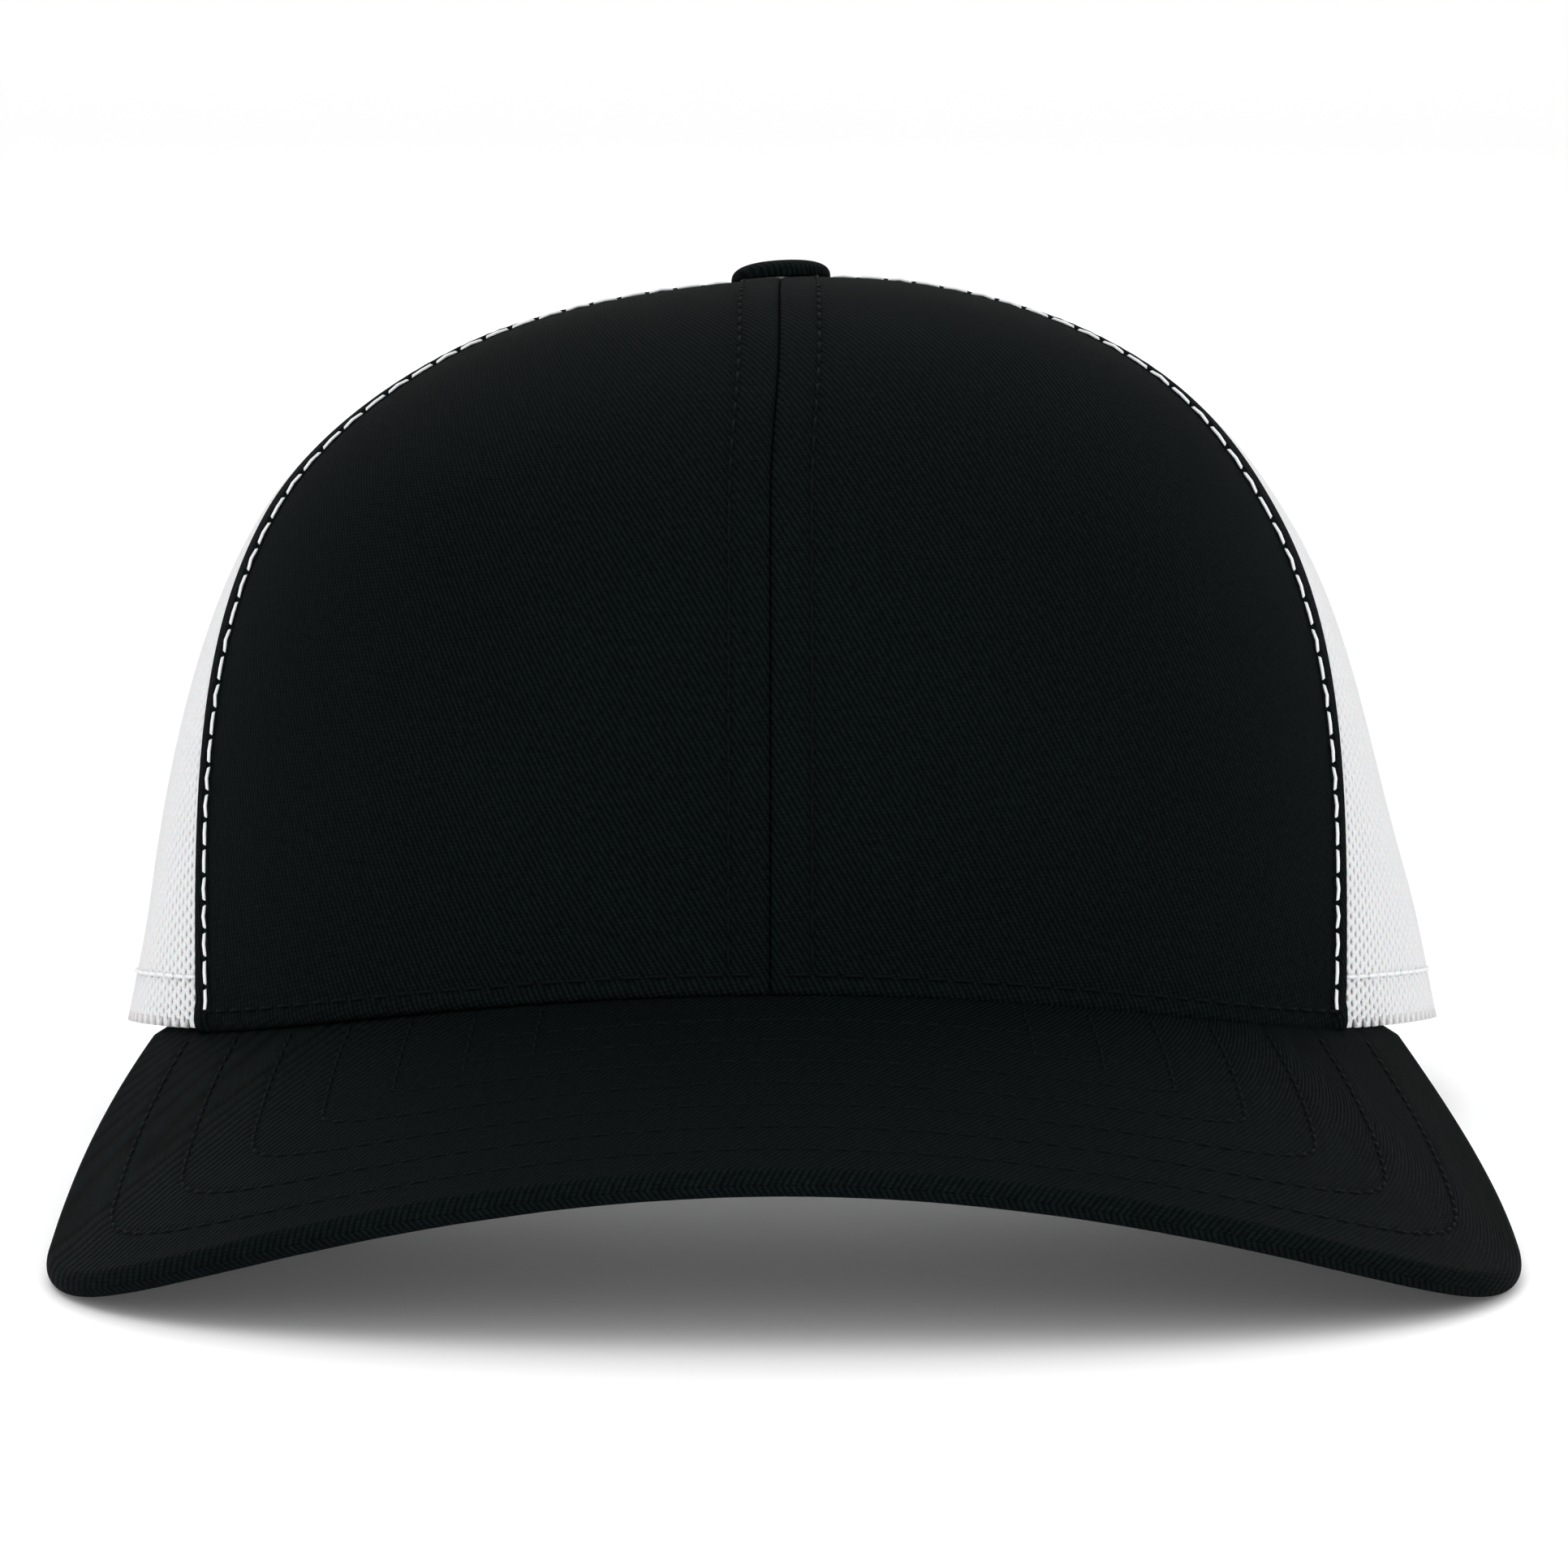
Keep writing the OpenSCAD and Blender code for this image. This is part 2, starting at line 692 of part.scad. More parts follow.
module strap_tab(inner, outer) {
    middle = (inner + outer) / 2;
    from = asin(hinge_x / middle);
    color(white_plastic)
    difference() {
        band(inner, outer, from, from + arc_angle(tab_length, middle));
        on_hinge(middle, knuckle_radius + hinge_gap, 1);
    }
}

module peg_strap() {
    head_seat = hole_strap_outer + strap_gap;
    color(white_plastic) {
        strap_body(peg_strap_inner, peg_strap_outer);
        for (i = [-pegs_each_side : pegs_each_side + free_pegs]) {
            radial(i * pitch_angle, peg_radius, peg_strap_outer - strap_thickness / 2, head_seat + joint);
            radial(i * pitch_angle, head_radius, head_seat, head_seat + head_height);
        }
    }
}

module hole_strap() {
    color(white_plastic)
    difference() {
        strap_body(hole_strap_inner, hole_strap_outer);
        for (i = [-pegs_each_side : pegs_each_side + free_pegs])
            radial(i * pitch_angle, hole_radius, hole_strap_inner - 1, hole_strap_outer + 1);
    }
}

// ---- how the cap rests ----

under_rim = [for (column = visor_grid(cover_outer(1))) each column];
hem_points = [for (angle = [90 : 1 : 180 - arch_angle], depth = [0, cloth_thickness])
    layer_point(angle, 0, depth)];

function lowest(points, tilt) =
    let (heights = [for (p = points) p[2] * cos(tilt) - p[1] * sin(tilt)], least = min(heights))
    [for (i = [0 : len(points) - 1]) if (heights[i] == least) points[i]][0];

// The tilt at which the lowest points of the visor and of the hem are level, found in a few steps
function level_tilt(tilt, steps) =
    steps == 0 ? tilt :
    let (tip = lowest(under_rim, tilt), hem = lowest(hem_points, tilt))
    level_tilt(atan2(hem[2] - tip[2], hem[1] - tip[1]), steps - 1);

rest_tilt = level_tilt(8, 4);
floor_z = let (p = lowest(under_rim, rest_tilt)) p[2] * cos(rest_tilt) - p[1] * sin(rest_tilt);
rear_points = concat(
    [for (angle = [180 - arch_angle - 12 : 1 : 180], v = rows(0, 0.6))
        if (abs(180 - angle) > arch_angle || v > arch_place(90, 0)[1]) layer_point(angle, v, 0)],
    [for (turn = [binding_start : 2 : 90], outside = [0, binding_width])
        let (place = arch_place(turn, outside))
        layer_point(place[0], place[1], -binding_fold)]
);
function forward(p) = p[1] * cos(rest_tilt) + p[2] * sin(rest_tilt);
middle_y = (min([for (p = under_rim) forward(p)]) + max([for (p = rear_points) forward(p)])) / 2;

on_the_left() front_panel();  // front_panel_left
on_the_right() front_panel();  // front_panel_right
on_the_left() side_panel();  // side_mesh_left
on_the_right() side_panel();  // side_mesh_right
on_the_left() rear_panel();  // rear_mesh_left
on_the_right() rear_panel();  // rear_mesh_right
on_the_left() buckram();  // buckram_left
on_the_right() buckram();  // buckram_right
at_rest() seam_tape(0, hem_share);  // seam_tape_front
on_the_left() seam_tape(1, hem_share);  // seam_tape_front_left
on_the_right() seam_tape(1, hem_share);  // seam_tape_front_right
on_the_left() seam_tape(2, hem_share);  // seam_tape_rear_left
on_the_right() seam_tape(2, hem_share);  // seam_tape_rear_right
at_rest() seam_tape(3, level(180, arch_height + binding_width + 1));  // seam_tape_rear
at_rest() sweatband();
at_rest() sweatband_pad();
at_rest() rear_arch_binding();
at_rest() visor_top_cover();
at_rest() visor_board();
at_rest() visor_under_cover();
at_rest() button_cover();
at_rest() button_shell();
at_rest() button_tack();
on_the_right() strap_tab(hole_strap_inner, hole_strap_outer);  // hole_strap_tab
on_the_left() strap_tab(peg_strap_inner, peg_strap_outer);  // peg_strap_tab
on_the_right() hole_strap();
on_the_left() peg_strap();
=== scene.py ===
"""A six-panel trucker cap: black twill front and visor, white mesh sides and rear, snap strap.

Shapes are worked out in the cap's own frame, with the opening in the plane z = 0, the front towards
-Y and the wearer's left towards +X, and are then placed as the cap rests. Lengths are in metres and
the angles about the crown's axis are in degrees from the front.
"""

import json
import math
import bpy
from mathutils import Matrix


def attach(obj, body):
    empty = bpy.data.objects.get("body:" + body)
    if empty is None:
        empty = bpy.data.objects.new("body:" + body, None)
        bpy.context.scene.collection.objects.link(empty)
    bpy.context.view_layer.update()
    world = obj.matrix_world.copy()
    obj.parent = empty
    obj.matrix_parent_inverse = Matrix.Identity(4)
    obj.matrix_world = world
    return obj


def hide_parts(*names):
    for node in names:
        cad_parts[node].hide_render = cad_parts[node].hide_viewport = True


bl_info = {
    "name": "Trucker Mesh Cap",
    "version": (1, 0, 0),
    "blender": (4, 5, 0),
    "location": "View3D > Sidebar > Cap",
    "description": (
        "Makes the cloth, mesh, stitches and finishes of a trucker cap on its packed frame"
    ),
    "category": "Object",
}

import bmesh
import bpy
import numpy as np
from mathutils import Matrix

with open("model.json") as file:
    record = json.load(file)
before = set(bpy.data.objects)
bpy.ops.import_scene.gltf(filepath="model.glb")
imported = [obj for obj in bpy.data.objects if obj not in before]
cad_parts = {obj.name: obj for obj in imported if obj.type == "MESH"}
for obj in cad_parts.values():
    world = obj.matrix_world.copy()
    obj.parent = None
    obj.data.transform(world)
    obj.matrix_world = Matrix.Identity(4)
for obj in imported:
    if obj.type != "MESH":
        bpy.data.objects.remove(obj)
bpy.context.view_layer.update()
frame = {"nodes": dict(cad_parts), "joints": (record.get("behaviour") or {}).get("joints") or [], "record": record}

MM = 0.001
HINGE_AXIS = frame["joints"][0]["axis"]
HEAD_OPENING = next(m for m in frame["record"]["mounts"] if m["name"] == "head_opening")


# ---- sizes and colours that a user would change ----


def length(name, text, millimetres):
    return bpy.props.FloatProperty(
        name=name, description=text, default=millimetres * MM, unit="LENGTH", precision=5
    )


def degrees(name, text, value):
    return bpy.props.FloatProperty(name=name, description=text, default=value)


def number(name, text, value):
    return bpy.props.FloatProperty(name=name, description=text, default=value)


def colour(name, text, value):
    return bpy.props.FloatVectorProperty(
        name=name, description=text, default=value, size=3, min=0.0, max=1.0, subtype="COLOR"
    )


class CapCrownSizes(bpy.types.PropertyGroup):
    half_width: length("Half width", "Half of the opening's width", 89)
    front_reach: length("Front reach", "Reach of the opening ahead of the apex", 97)
    rear_reach: length("Rear reach", "Reach of the opening behind the apex", 95)
    height: length("Height", "Height of the apex above the opening", 100.5)
    front_rise: length("Front rise", "Height of the crown's front edge above the opening", 6)
    front_lean: number("Front lean", "Share by which the front wall leans in", 0.17)
    side_lean: number("Side lean", "Share by which the side wall leans in", 0.22)
    front_fullness: number("Front fullness", "Uprightness of the front wall", 4.0)
    side_fullness: number("Side fullness", "Uprightness of the side wall", 5.0)
    rear_fullness: number("Rear fullness", "Uprightness of the rear wall", 3.2)
    apex_hole: length("Apex hole", "Radius of the hole that the panels leave at the apex", 3.4)
    front_seam: degrees("Front seam", "Angle of the seam between front and side, in degrees", 57)
    front_seam_bow: degrees("Front seam bow", "How far that seam bows back, in degrees", 18)
    rear_seam: degrees("Rear seam", "Angle of the seam between side and rear, in degrees", 118)
    rear_seam_bow: degrees("Rear seam bow", "How far that seam bows back, in degrees", 6)


class CapLayerSizes(bpy.types.PropertyGroup):
    cloth: length("Cloth", "Thickness of the crown's panels", 0.8)
    buckram: length("Buckram", "Thickness of the buckram", 0.55)
    buckram_inset: length("Buckram inset", "Distance that the buckram keeps from the seams", 2)
    tape: length("Tape", "Thickness of the seam tapes", 0.5)
    tape_width: length("Tape width", "Width of the seam tapes", 12)
    band: length("Sweatband", "Thickness of the sweatband", 0.95)
    band_height: length("Sweatband height", "Height of the sweatband", 30)
    band_rise: length("Sweatband rise", "Height of the sweatband's lower edge", 0.8)
    pad: length("Pad", "Thickness of the pad", 1)
    pad_height: length("Pad height", "Height of the pad", 23)
    pad_angle: degrees("Pad angle", "Angle that the pad covers each way, in degrees", 52)
    gap: length("Gap", "Clearance between layers", 0.15)
    arch_half_width: length("Arch half width", "Half of the rear arch's width", 39)
    arch_height: length("Arch height", "Height of the rear arch", 48)
    binding_width: length("Binding width", "Width of the binding on the mesh", 6)
    binding: length("Binding", "Thickness of the binding", 0.5)
    binding_gap: length("Binding gap", "Clearance between the binding and the mesh", 0.3)


class CapVisorSizes(bpy.types.PropertyGroup):
    reach: length("Reach", "Reach of the visor ahead of the crown", 69)
    half_width: length("Half width", "Half of the visor's width", 90)
    angle: degrees("Angle", "Angle from the front to each corner, in degrees", 65)
    overhang: length("Overhang", "Distance that each corner stands out past the crown", 2)
    widest_ahead: length("Widest ahead", "Distance ahead of the crown of the widest point", 15)
    fullness: number("Fullness", "Squareness of the outline, where 2 is an ellipse", 2.25)
    slope: degrees("Slope", "Slope of the visor towards the front, in degrees", 14.6)
    cover: length("Cover", "Thickness of each cover", 0.8)
    board: length("Board", "Thickness of the board", 1.6)
    board_gap: length("Board gap", "Clearance between the board and each cover", 0.1)
    board_inset: length("Board inset", "Distance of the board inside the rim", 1.5)
    clearance: length("Clearance", "Clearance between the crown's edge and the visor", 0.2)
    tuck: length("Tuck", "Distance that the visor reaches in under the crown", 2.4)
    row_spacing: length("Row spacing", "Distance between the rows of stitches", 8.5)


class CapButtonSizes(bpy.types.PropertyGroup):
    radius: length("Radius", "Radius of the button", 6.8)
    height: length("Height", "Height of the button", 2.6)
    cloth: length("Cloth", "Thickness of the button's cloth", 0.5)


class CapSewingSizes(bpy.types.PropertyGroup):
    pitch: length("Pitch", "Distance from stitch to stitch", 3.8)
    length: length("Length", "Length of a stitch", 3.0)
    thread: length("Thread", "Thickness of the thread", 0.62)
    twin_rows: length("Twin rows", "Distance of each row from the front's centre seam", 5.2)
    uneven: length("Uneven", "How far the sewn crown stands to one side", 1.7)
    net_width: length("Net width", "Width of one cell of the mesh", 1.5)
    net_height: length("Net height", "Height of one cell of the mesh", 1.7)
    wale: length("Wale", "Distance between the twill's ribs", 0.7)


class CapColours(bpy.types.PropertyGroup):
    twill: colour("Twill", "Black cotton twill", (0.0016, 0.0027, 0.0028))
    black_thread: colour("Black thread", "Thread on the twill", (0.0022, 0.0032, 0.0034))
    white_thread: colour("White thread", "Thread on the mesh", (0.7, 0.71, 0.72))
    mesh: colour("Mesh", "White polyester yarn", (0.59, 0.605, 0.615))
    tape: colour("Tape", "White cotton tape", (0.74, 0.75, 0.76))
    band: colour("Sweatband", "White cotton sweatband", (0.76, 0.77, 0.78))
    buckram: colour("Buckram", "Stiffened open cloth", (0.68, 0.68, 0.66))
    plastic: colour("Plastic", "White moulded plastic", (0.82, 0.82, 0.81))
    board: colour("Board", "Grey plastic board", (0.3, 0.31, 0.32))
    steel: colour("Steel", "Pressed steel", (0.58, 0.58, 0.57))
    floor: colour("Floor", "Pale floor and backdrop", (0.95, 0.95, 0.95))


# ---- small sums on whole arrays ----


def mix(a, b, share):
    return a + (b - a) * share


def unit(vectors):
    return vectors / np.linalg.norm(vectors, axis=-1, keepdims=True)


def ease(start, end, x):
    """A step from 0 at start to 1 at end, 3u squared less 2u cubed."""
    u = np.clip((x - start) / (end - start), 0, 1)
    return u * u * (3 - 2 * u)


def dimple(distance, width):
    """A rounded hollow of depth 1: e to the power of minus the square of distance over width."""
    return np.exp(-((distance / width) ** 2))


def rolled(distance, radius):
    """How far a quarter circle's edge falls away, 1 at the edge and 0 at its radius."""
    u = 1 - np.clip(distance / radius, 0, 1)
    return 1 - np.sqrt(np.maximum(0, 1 - u * u))


def running_length(points, axis=0):
    """Length along a grid's lines from their start, the sum of the steps between its points."""
    steps = np.linalg.norm(np.diff(points, axis=axis), axis=-1)
    start = np.zeros_like(np.take(steps, [0], axis=axis))
    return np.concatenate([start, np.cumsum(steps, axis=axis)], axis=axis)


def across_tables(wanted, known, values):
    """Straight-line lookup in many tables at once. Column k of wanted is looked up in column k of
    known, whose interval is found by counting the entries that lie below."""
    index = (known[None] <= wanted[:, None]).sum(axis=1) - 1
    index = np.clip(index, 0, known.shape[0] - 2)
    column = np.arange(wanted.shape[1])[None]
    low, high = known[index, column], known[index + 1, column]
    share = np.clip((wanted - low) / np.maximum(high - low, 1e-12), 0, 1)
    return mix(values[index, column], values[index + 1, column], share)


def ripple(u, v, seed, size):
    """A soft unevenness from -1 to 1: the mean of six sine waves whose directions and phases come
    from the seed and whose lengths are near size."""
    chance = np.random.default_rng(seed)
    total = np.zeros(np.broadcast(u, v).shape)
    for _ in range(6):
        turn, phase = chance.uniform(0, math.tau, 2)
        rate = math.tau / (size * chance.uniform(0.7, 1.6))
        total += np.sin(rate * (u * math.cos(turn) + v * math.sin(turn)) + phase)
    return total / 6


# ---- the cap's form ----


class CapForm:
    """The cap's surfaces as functions of whole arrays, from the scene's sizes."""

    def __init__(self, scene):
        self.crown = scene.cap_crown
        self.layers = scene.cap_layers
        self.visor = scene.cap_visor
        self.button = scene.cap_button
        self.sewing = scene.cap_sewing
        self.top_share = self.near_apex(self.crown.apex_hole)
        self.set_roll()
        self.set_depths()

    def set_roll(self):
        """The visor's surface is a sloping plane rolled about a line towards the front, so that it
        meets the plane of the opening at the visor's corners: the roll's radius is the corner's x
        squared plus the drop squared, over twice the drop."""
        crown, visor = self.crown, self.visor
        turn = math.radians(visor.angle)
        self.slope_ratio = math.tan(math.radians(visor.slope))
        self.corner_x = crown.half_width * math.sin(turn)
        self.corner_y = -crown.front_reach * math.cos(turn)
        drop = crown.front_rise + self.slope_ratio * (self.corner_y + crown.front_reach)
        self.roll_radius = (self.corner_x**2 + drop**2) / (2 * drop)
        corner_slope = self.corner_x / math.sqrt(self.roll_radius**2 - self.corner_x**2)
        self.steepest = math.hypot(self.slope_ratio, corner_slope)

    def set_depths(self):
        """Each layer lies below the one outside it by that one's thickness and a gap."""
        layers, visor = self.layers, self.visor
        self.buckram_depth = layers.cloth + layers.gap
        self.tape_depth = self.buckram_depth + layers.buckram + layers.gap
        self.pad_depth = self.tape_depth + layers.tape + layers.gap
        self.band_depth = self.pad_depth + layers.pad + layers.gap
        self.crown_gap = layers.cloth * self.steepest + visor.clearance
        below_cloth = self.tape_depth + layers.tape - layers.cloth
        self.layer_rise = below_cloth * (self.steepest + self.crown.side_lean) + visor.clearance
        self.visor_thickness = 2 * visor.cover + 2 * visor.board_gap + visor.board

    def placed(self, points):
        """The cap's frame laid in the row's: the opening's centre, and axes tipped back."""
        up = np.array(HINGE_AXIS)
        back = np.array([0, up[2], -up[1]])
        origin = np.array(HEAD_OPENING["pos_m"])
        across = np.array([1.0, 0, 0])
        return (
            origin
            + points[..., 0:1] * across
            + points[..., 1:2] * back
            + points[..., 2:3] * up
        )

    def crown_set(self, points):
        """How the sewn crown sits: its front and the middle of its sides stand a little to the
        wearer's right, and its top is a little higher on the left."""
        x, y, z = points[..., 0], points[..., 1], points[..., 2]
        uneven = self.sewing.uneven
        middle = ease(10 * MM, 45 * MM, z)
        ahead = 1 - ease(-34 * MM, mix(-4 * MM, 62 * MM, middle), y)
        below_top = 1 - ease(68 * MM, 90 * MM, z)
        reach = x / (26 * MM)
        tip = 0.9 * reach / (1 + reach**2) * ease(66 * MM, 90 * MM, z)
        side = -uneven * ahead * mix(0.35, 1.0, below_top)
        return points + np.stack([side, np.zeros_like(y), uneven * tip], axis=-1)

    def visor_set(self, points):
        """The visor's back edge goes with the crown, and its front stays where it is."""
        side = -0.6 * self.sewing.uneven * ease(-112 * MM, -41 * MM, points[..., 1])
        return points + np.stack([side, np.zeros_like(side), np.zeros_like(side)], axis=-1)

    def around(self, angle, front, side, rear):
        turn = np.abs(angle)
        return mix(mix(front, side, ease(15, 70, turn)), rear, ease(100, 140, turn))

    def oval(self, angle):
        """Two half ellipses: x is the half width times the sine, y is a reach times the cosine."""
        turn = np.radians(angle)
        reach = np.where(np.cos(turn) > 0, self.crown.front_reach, self.crown.rear_reach)
        return np.stack([self.crown.half_width * np.sin(turn), -reach * np.cos(turn)], axis=-1)

    def edge_height(self, x, y):
        """A plane that rises towards the back, less the sag of a circle of the roll's radius."""
        sag = self.roll_radius - np.sqrt(self.roll_radius**2 - x**2)
        return self.crown.front_rise + self.slope_ratio * (y + self.crown.front_reach) - sag

    def base(self, angle):
        edge = self.oval(angle)
        x = np.clip(edge[..., 0], -self.corner_x, self.corner_x)
        return np.where(
            np.abs(angle) < self.visor.angle, self.edge_height(x, edge[..., 1]), 0.0
        )

    def fullness(self, angle):
        crown = self.crown
        return self.around(angle, crown.front_fullness, crown.side_fullness, crown.rear_fullness)

    def point(self, angle, share):
        """A superellipse from the hem to the apex that leans in: for a profile angle of 90 degrees
        times share to the power 1.8, the height goes with its sine to the power of 2 over the
        fullness, and the distance out goes with its cosine, less the lean times the height."""
        angle, share = np.broadcast_arrays(angle, share)
        rise = np.pi / 2 * share**1.8
        up = np.sin(rise) ** (2 / self.fullness(angle))
        lean = self.around(angle, self.crown.front_lean, self.crown.side_lean, 0.0)
        out = (1 - lean * up) * np.cos(rise)
        base = self.base(angle)
        edge = self.oval(angle)
        height = base + (self.crown.height - base) * up
        return np.stack([edge[..., 0] * out, edge[..., 1] * out, height], axis=-1)

    def normal(self, angle, share):
        """Square to the surface: the cross product of its slopes across and up."""
        across = self.point(angle + 0.5, share) - self.point(angle - 0.5, share)
        up = self.point(angle, share + 0.01) - self.point(angle, np.maximum(share - 0.01, 0))
        return unit(np.cross(across, up))

    def layer(self, angle, share, depth):
        """The point a depth below the crown's outer face, square to it."""
        depth = np.asarray(depth, dtype=float)
        return self.point(angle, share) - depth[..., None] * self.normal(angle, share)

    def level(self, angle, rise):
        """The share at which the crown stands a height above its own edge: the profile's sine
        power turned back."""
        up = np.clip(rise / (self.crown.height - self.base(angle)), 0, 1)
        turn = np.arcsin(up ** (self.fullness(angle) / 2))
        return (turn / (np.pi / 2)) ** (1 / 1.8)

    def near_apex(self, radius):
        wide = self.crown.half_width * (1 - self.crown.side_lean)
        return (math.acos(radius / wide) / (math.pi / 2)) ** (1 / 1.8)

    def seam(self, number, share):
        """Angle of a seam: a base angle plus a bow that goes with a sine. For 1, front to side, it
        is the sine of 110 degrees times the profile angle's sine to the power of 2.4 over the side
        fullness; for 2, side to rear, of 150 degrees times the profile angle's share. 0 is the
        centre front and 3 the centre rear."""
        crown = self.crown
        rise = share**1.8
        if number == 1:
            power = 2.4 / crown.side_fullness
            bow = np.sin(np.radians(110) * np.clip(np.sin(np.pi / 2 * rise), 0, 1) ** power)
            return crown.front_seam + crown.front_seam_bow * bow
        if number == 2:
            return crown.rear_seam + crown.rear_seam_bow * np.sin(np.radians(150 * rise))
        return np.full(np.shape(share), 0.0 if number == 0 else 180.0)

    def beside(self, angle, share, distance):
        """The angle that lies a distance round from another at the same share: the distance over
        the surface's speed there in metres per degree."""
        speed = np.linalg.norm(
            self.point(angle + 0.5, share) - self.point(angle - 0.5, share), axis=-1
        )
        return angle + distance / speed

    def arch(self, turn, outside):
        """The rear arch: half an ellipse in angle and height, grown by a distance outside it."""
        layers, crown = self.layers, self.crown
        half = math.degrees(math.asin(layers.arch_half_width / crown.half_width))
        half = half + np.degrees(outside / crown.half_width)
        angle = 180 - half * np.cos(np.radians(turn))
        rise = (layers.arch_height + outside) * np.sin(np.radians(turn))
        return angle, self.level(angle, rise)

    def outline(self, q):
        """The visor's rim from one corner, q = -1, round to the other, q = 1: a superellipse ahead
        of its widest point, and a line that eases in to the corner behind it."""
        visor = self.visor
        front_part = 0.66
        side = np.abs(q)
        turn = np.pi / 2 * np.minimum(1, side / front_part)
        past = np.maximum(0, (side - front_part) / (1 - front_part))
        widest_y = -self.crown.front_reach - visor.widest_ahead
        power = 2 / visor.fullness
        narrowing = visor.half_width - self.corner_x - visor.overhang
        x = np.sign(q) * (visor.half_width * np.sin(turn) ** power - narrowing * past**2)
        ahead = (visor.reach - visor.widest_ahead) * np.maximum(np.cos(turn), 0) ** power
        y = widest_y - ahead + (self.corner_y - widest_y) * past
        return np.stack([x, y], axis=-1)

    def inset_outline(self, q, distance):
        """The rim moved in square to itself."""
        a, b = np.maximum(-1, q - 0.01), np.minimum(1, q + 0.01)
        along = unit(self.outline(b) - self.outline(a))
        distance = np.asarray(distance, dtype=float)[..., None]
        return self.outline(q) + distance * np.stack([-along[..., 1], along[..., 0]], axis=-1)

    def tucked_edge(self, q):
        edge = self.oval(self.visor.angle * q)
        return edge * (1 - self.visor.tuck / np.linalg.norm(edge, axis=-1, keepdims=True))

    def visor_normal(self, x):
        slope = x / np.sqrt(self.roll_radius**2 - x**2)
        return unit(np.stack([slope, np.full_like(x, -self.slope_ratio), np.ones_like(x)], axis=-1))

    def visor_point(self, place, depth):
        """The rolled plane at a place, lowered by the gap to the crown, then a depth below it."""
        x, y = place[..., 0], place[..., 1]
        top = np.stack([x, y, self.edge_height(x, y) - self.crown_gap], axis=-1)
        return top - np.asarray(depth, dtype=float)[..., None] * self.visor_normal(x)


# ---- meshes from arrays ----


def grid_quads(columns, rows):
    """Faces of a grid of points whose columns run to the right and rows upward."""
    i, j = np.meshgrid(np.arange(columns - 1), np.arange(rows - 1), indexing="ij")
    a = (i * rows + j).ravel()
    return np.stack([a, a + rows, a + rows + 1, a + 1], axis=-1)


def grid_rim(columns, rows):
    """A grid's outer points in order, anticlockwise seen from its front."""
    index = np.arange(columns * rows).reshape(columns, rows)
    return np.concatenate(
        [index[:-1, 0], index[-1, :-1], index[:0:-1, -1], index[0, :0:-1]]
    )


def slab(outer, inner):
    """A closed sheet between two grids: both faces, and a wall round the rim."""
    columns, rows = outer.shape[:2]
    count = columns * rows
    face = grid_quads(columns, rows)
    rim = grid_rim(columns, rows)
    following = np.roll(rim, -1)
    wall = np.stack([following, rim, rim + count, following + count], axis=-1)
    points = np.concatenate([outer.reshape(-1, 3), inner.reshape(-1, 3)])
    return points, np.concatenate([face, face[:, ::-1] + count, wall])


def mirrored(points, faces):
    """The other side's twin: x turned over, and each face's order with it."""
    return points * np.array([-1, 1, 1]), faces[:, ::-1]


class Maker:
    """Turns arrays in the cap's frame into finished pieces."""

    def __init__(self, form, materials):
        self.form = form
        self.materials = materials

    def piece(self, name, points, faces, material, slot, replaced=(), uv=None, body="cap"):
        mesh = bpy.data.meshes.new(name)
        sewn = self.form.visor_set if name.startswith("visor") else self.form.crown_set
        placed = self.form.placed(sewn(points))
        faces = np.ascontiguousarray(faces, dtype=np.int32)
        mesh.vertices.add(len(placed))
        mesh.vertices.foreach_set("co", placed.astype(np.float32).ravel())
        mesh.loops.add(faces.size)
        mesh.loops.foreach_set("vertex_index", faces.ravel())
        mesh.polygons.add(len(faces))
        mesh.polygons.foreach_set("loop_start", np.arange(0, faces.size, faces.shape[1]))
        mesh.polygons.foreach_set("use_smooth", np.ones(len(faces), dtype=bool))
        if uv is not None:
            layer = mesh.uv_layers.new(name="Cloth")
            layer.data.foreach_set("uv", uv[faces.ravel()].astype(np.float32).ravel())
        mesh.update(calc_edges=True)
        mesh.validate()
        mesh.materials.append(self.materials[material])
        made = bpy.data.objects.new(name, mesh)
        bpy.context.scene.collection.objects.link(made)
        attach(made, body)
        if replaced:
            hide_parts(*replaced)
        return made

    def pair(self, name, points, faces, material, slot, replaced=(), uv=None):
        """One piece on the wearer's left and its mirrored twin on the right."""
        left = self.piece(
            name + "_left", points, faces, material, slot, [r + "_left" for r in replaced], uv
        )
        points, faces = mirrored(points, faces)
        if uv is not None:
            uv = uv * np.array([-1, 1])
        right = self.piece(
            name + "_right", points, faces, material, slot, [r + "_right" for r in replaced], uv
        )
        return left, right


def close_poles(made):
    """Merges points that share a place, as at a pole."""
    work = bmesh.new()
    work.from_mesh(made.data)
    bmesh.ops.remove_doubles(work, verts=work.verts, dist=1e-7)
    work.to_mesh(made.data)
    work.free()
    return made


# ---- stitches ----

STITCH_SIDES = 6
STITCH_RINGS = np.array([-1.0, -0.86, 0.0, 0.86, 1.0])
STITCH_GIRTH = np.array([0.4, 0.95, 1.0, 0.95, 0.4])


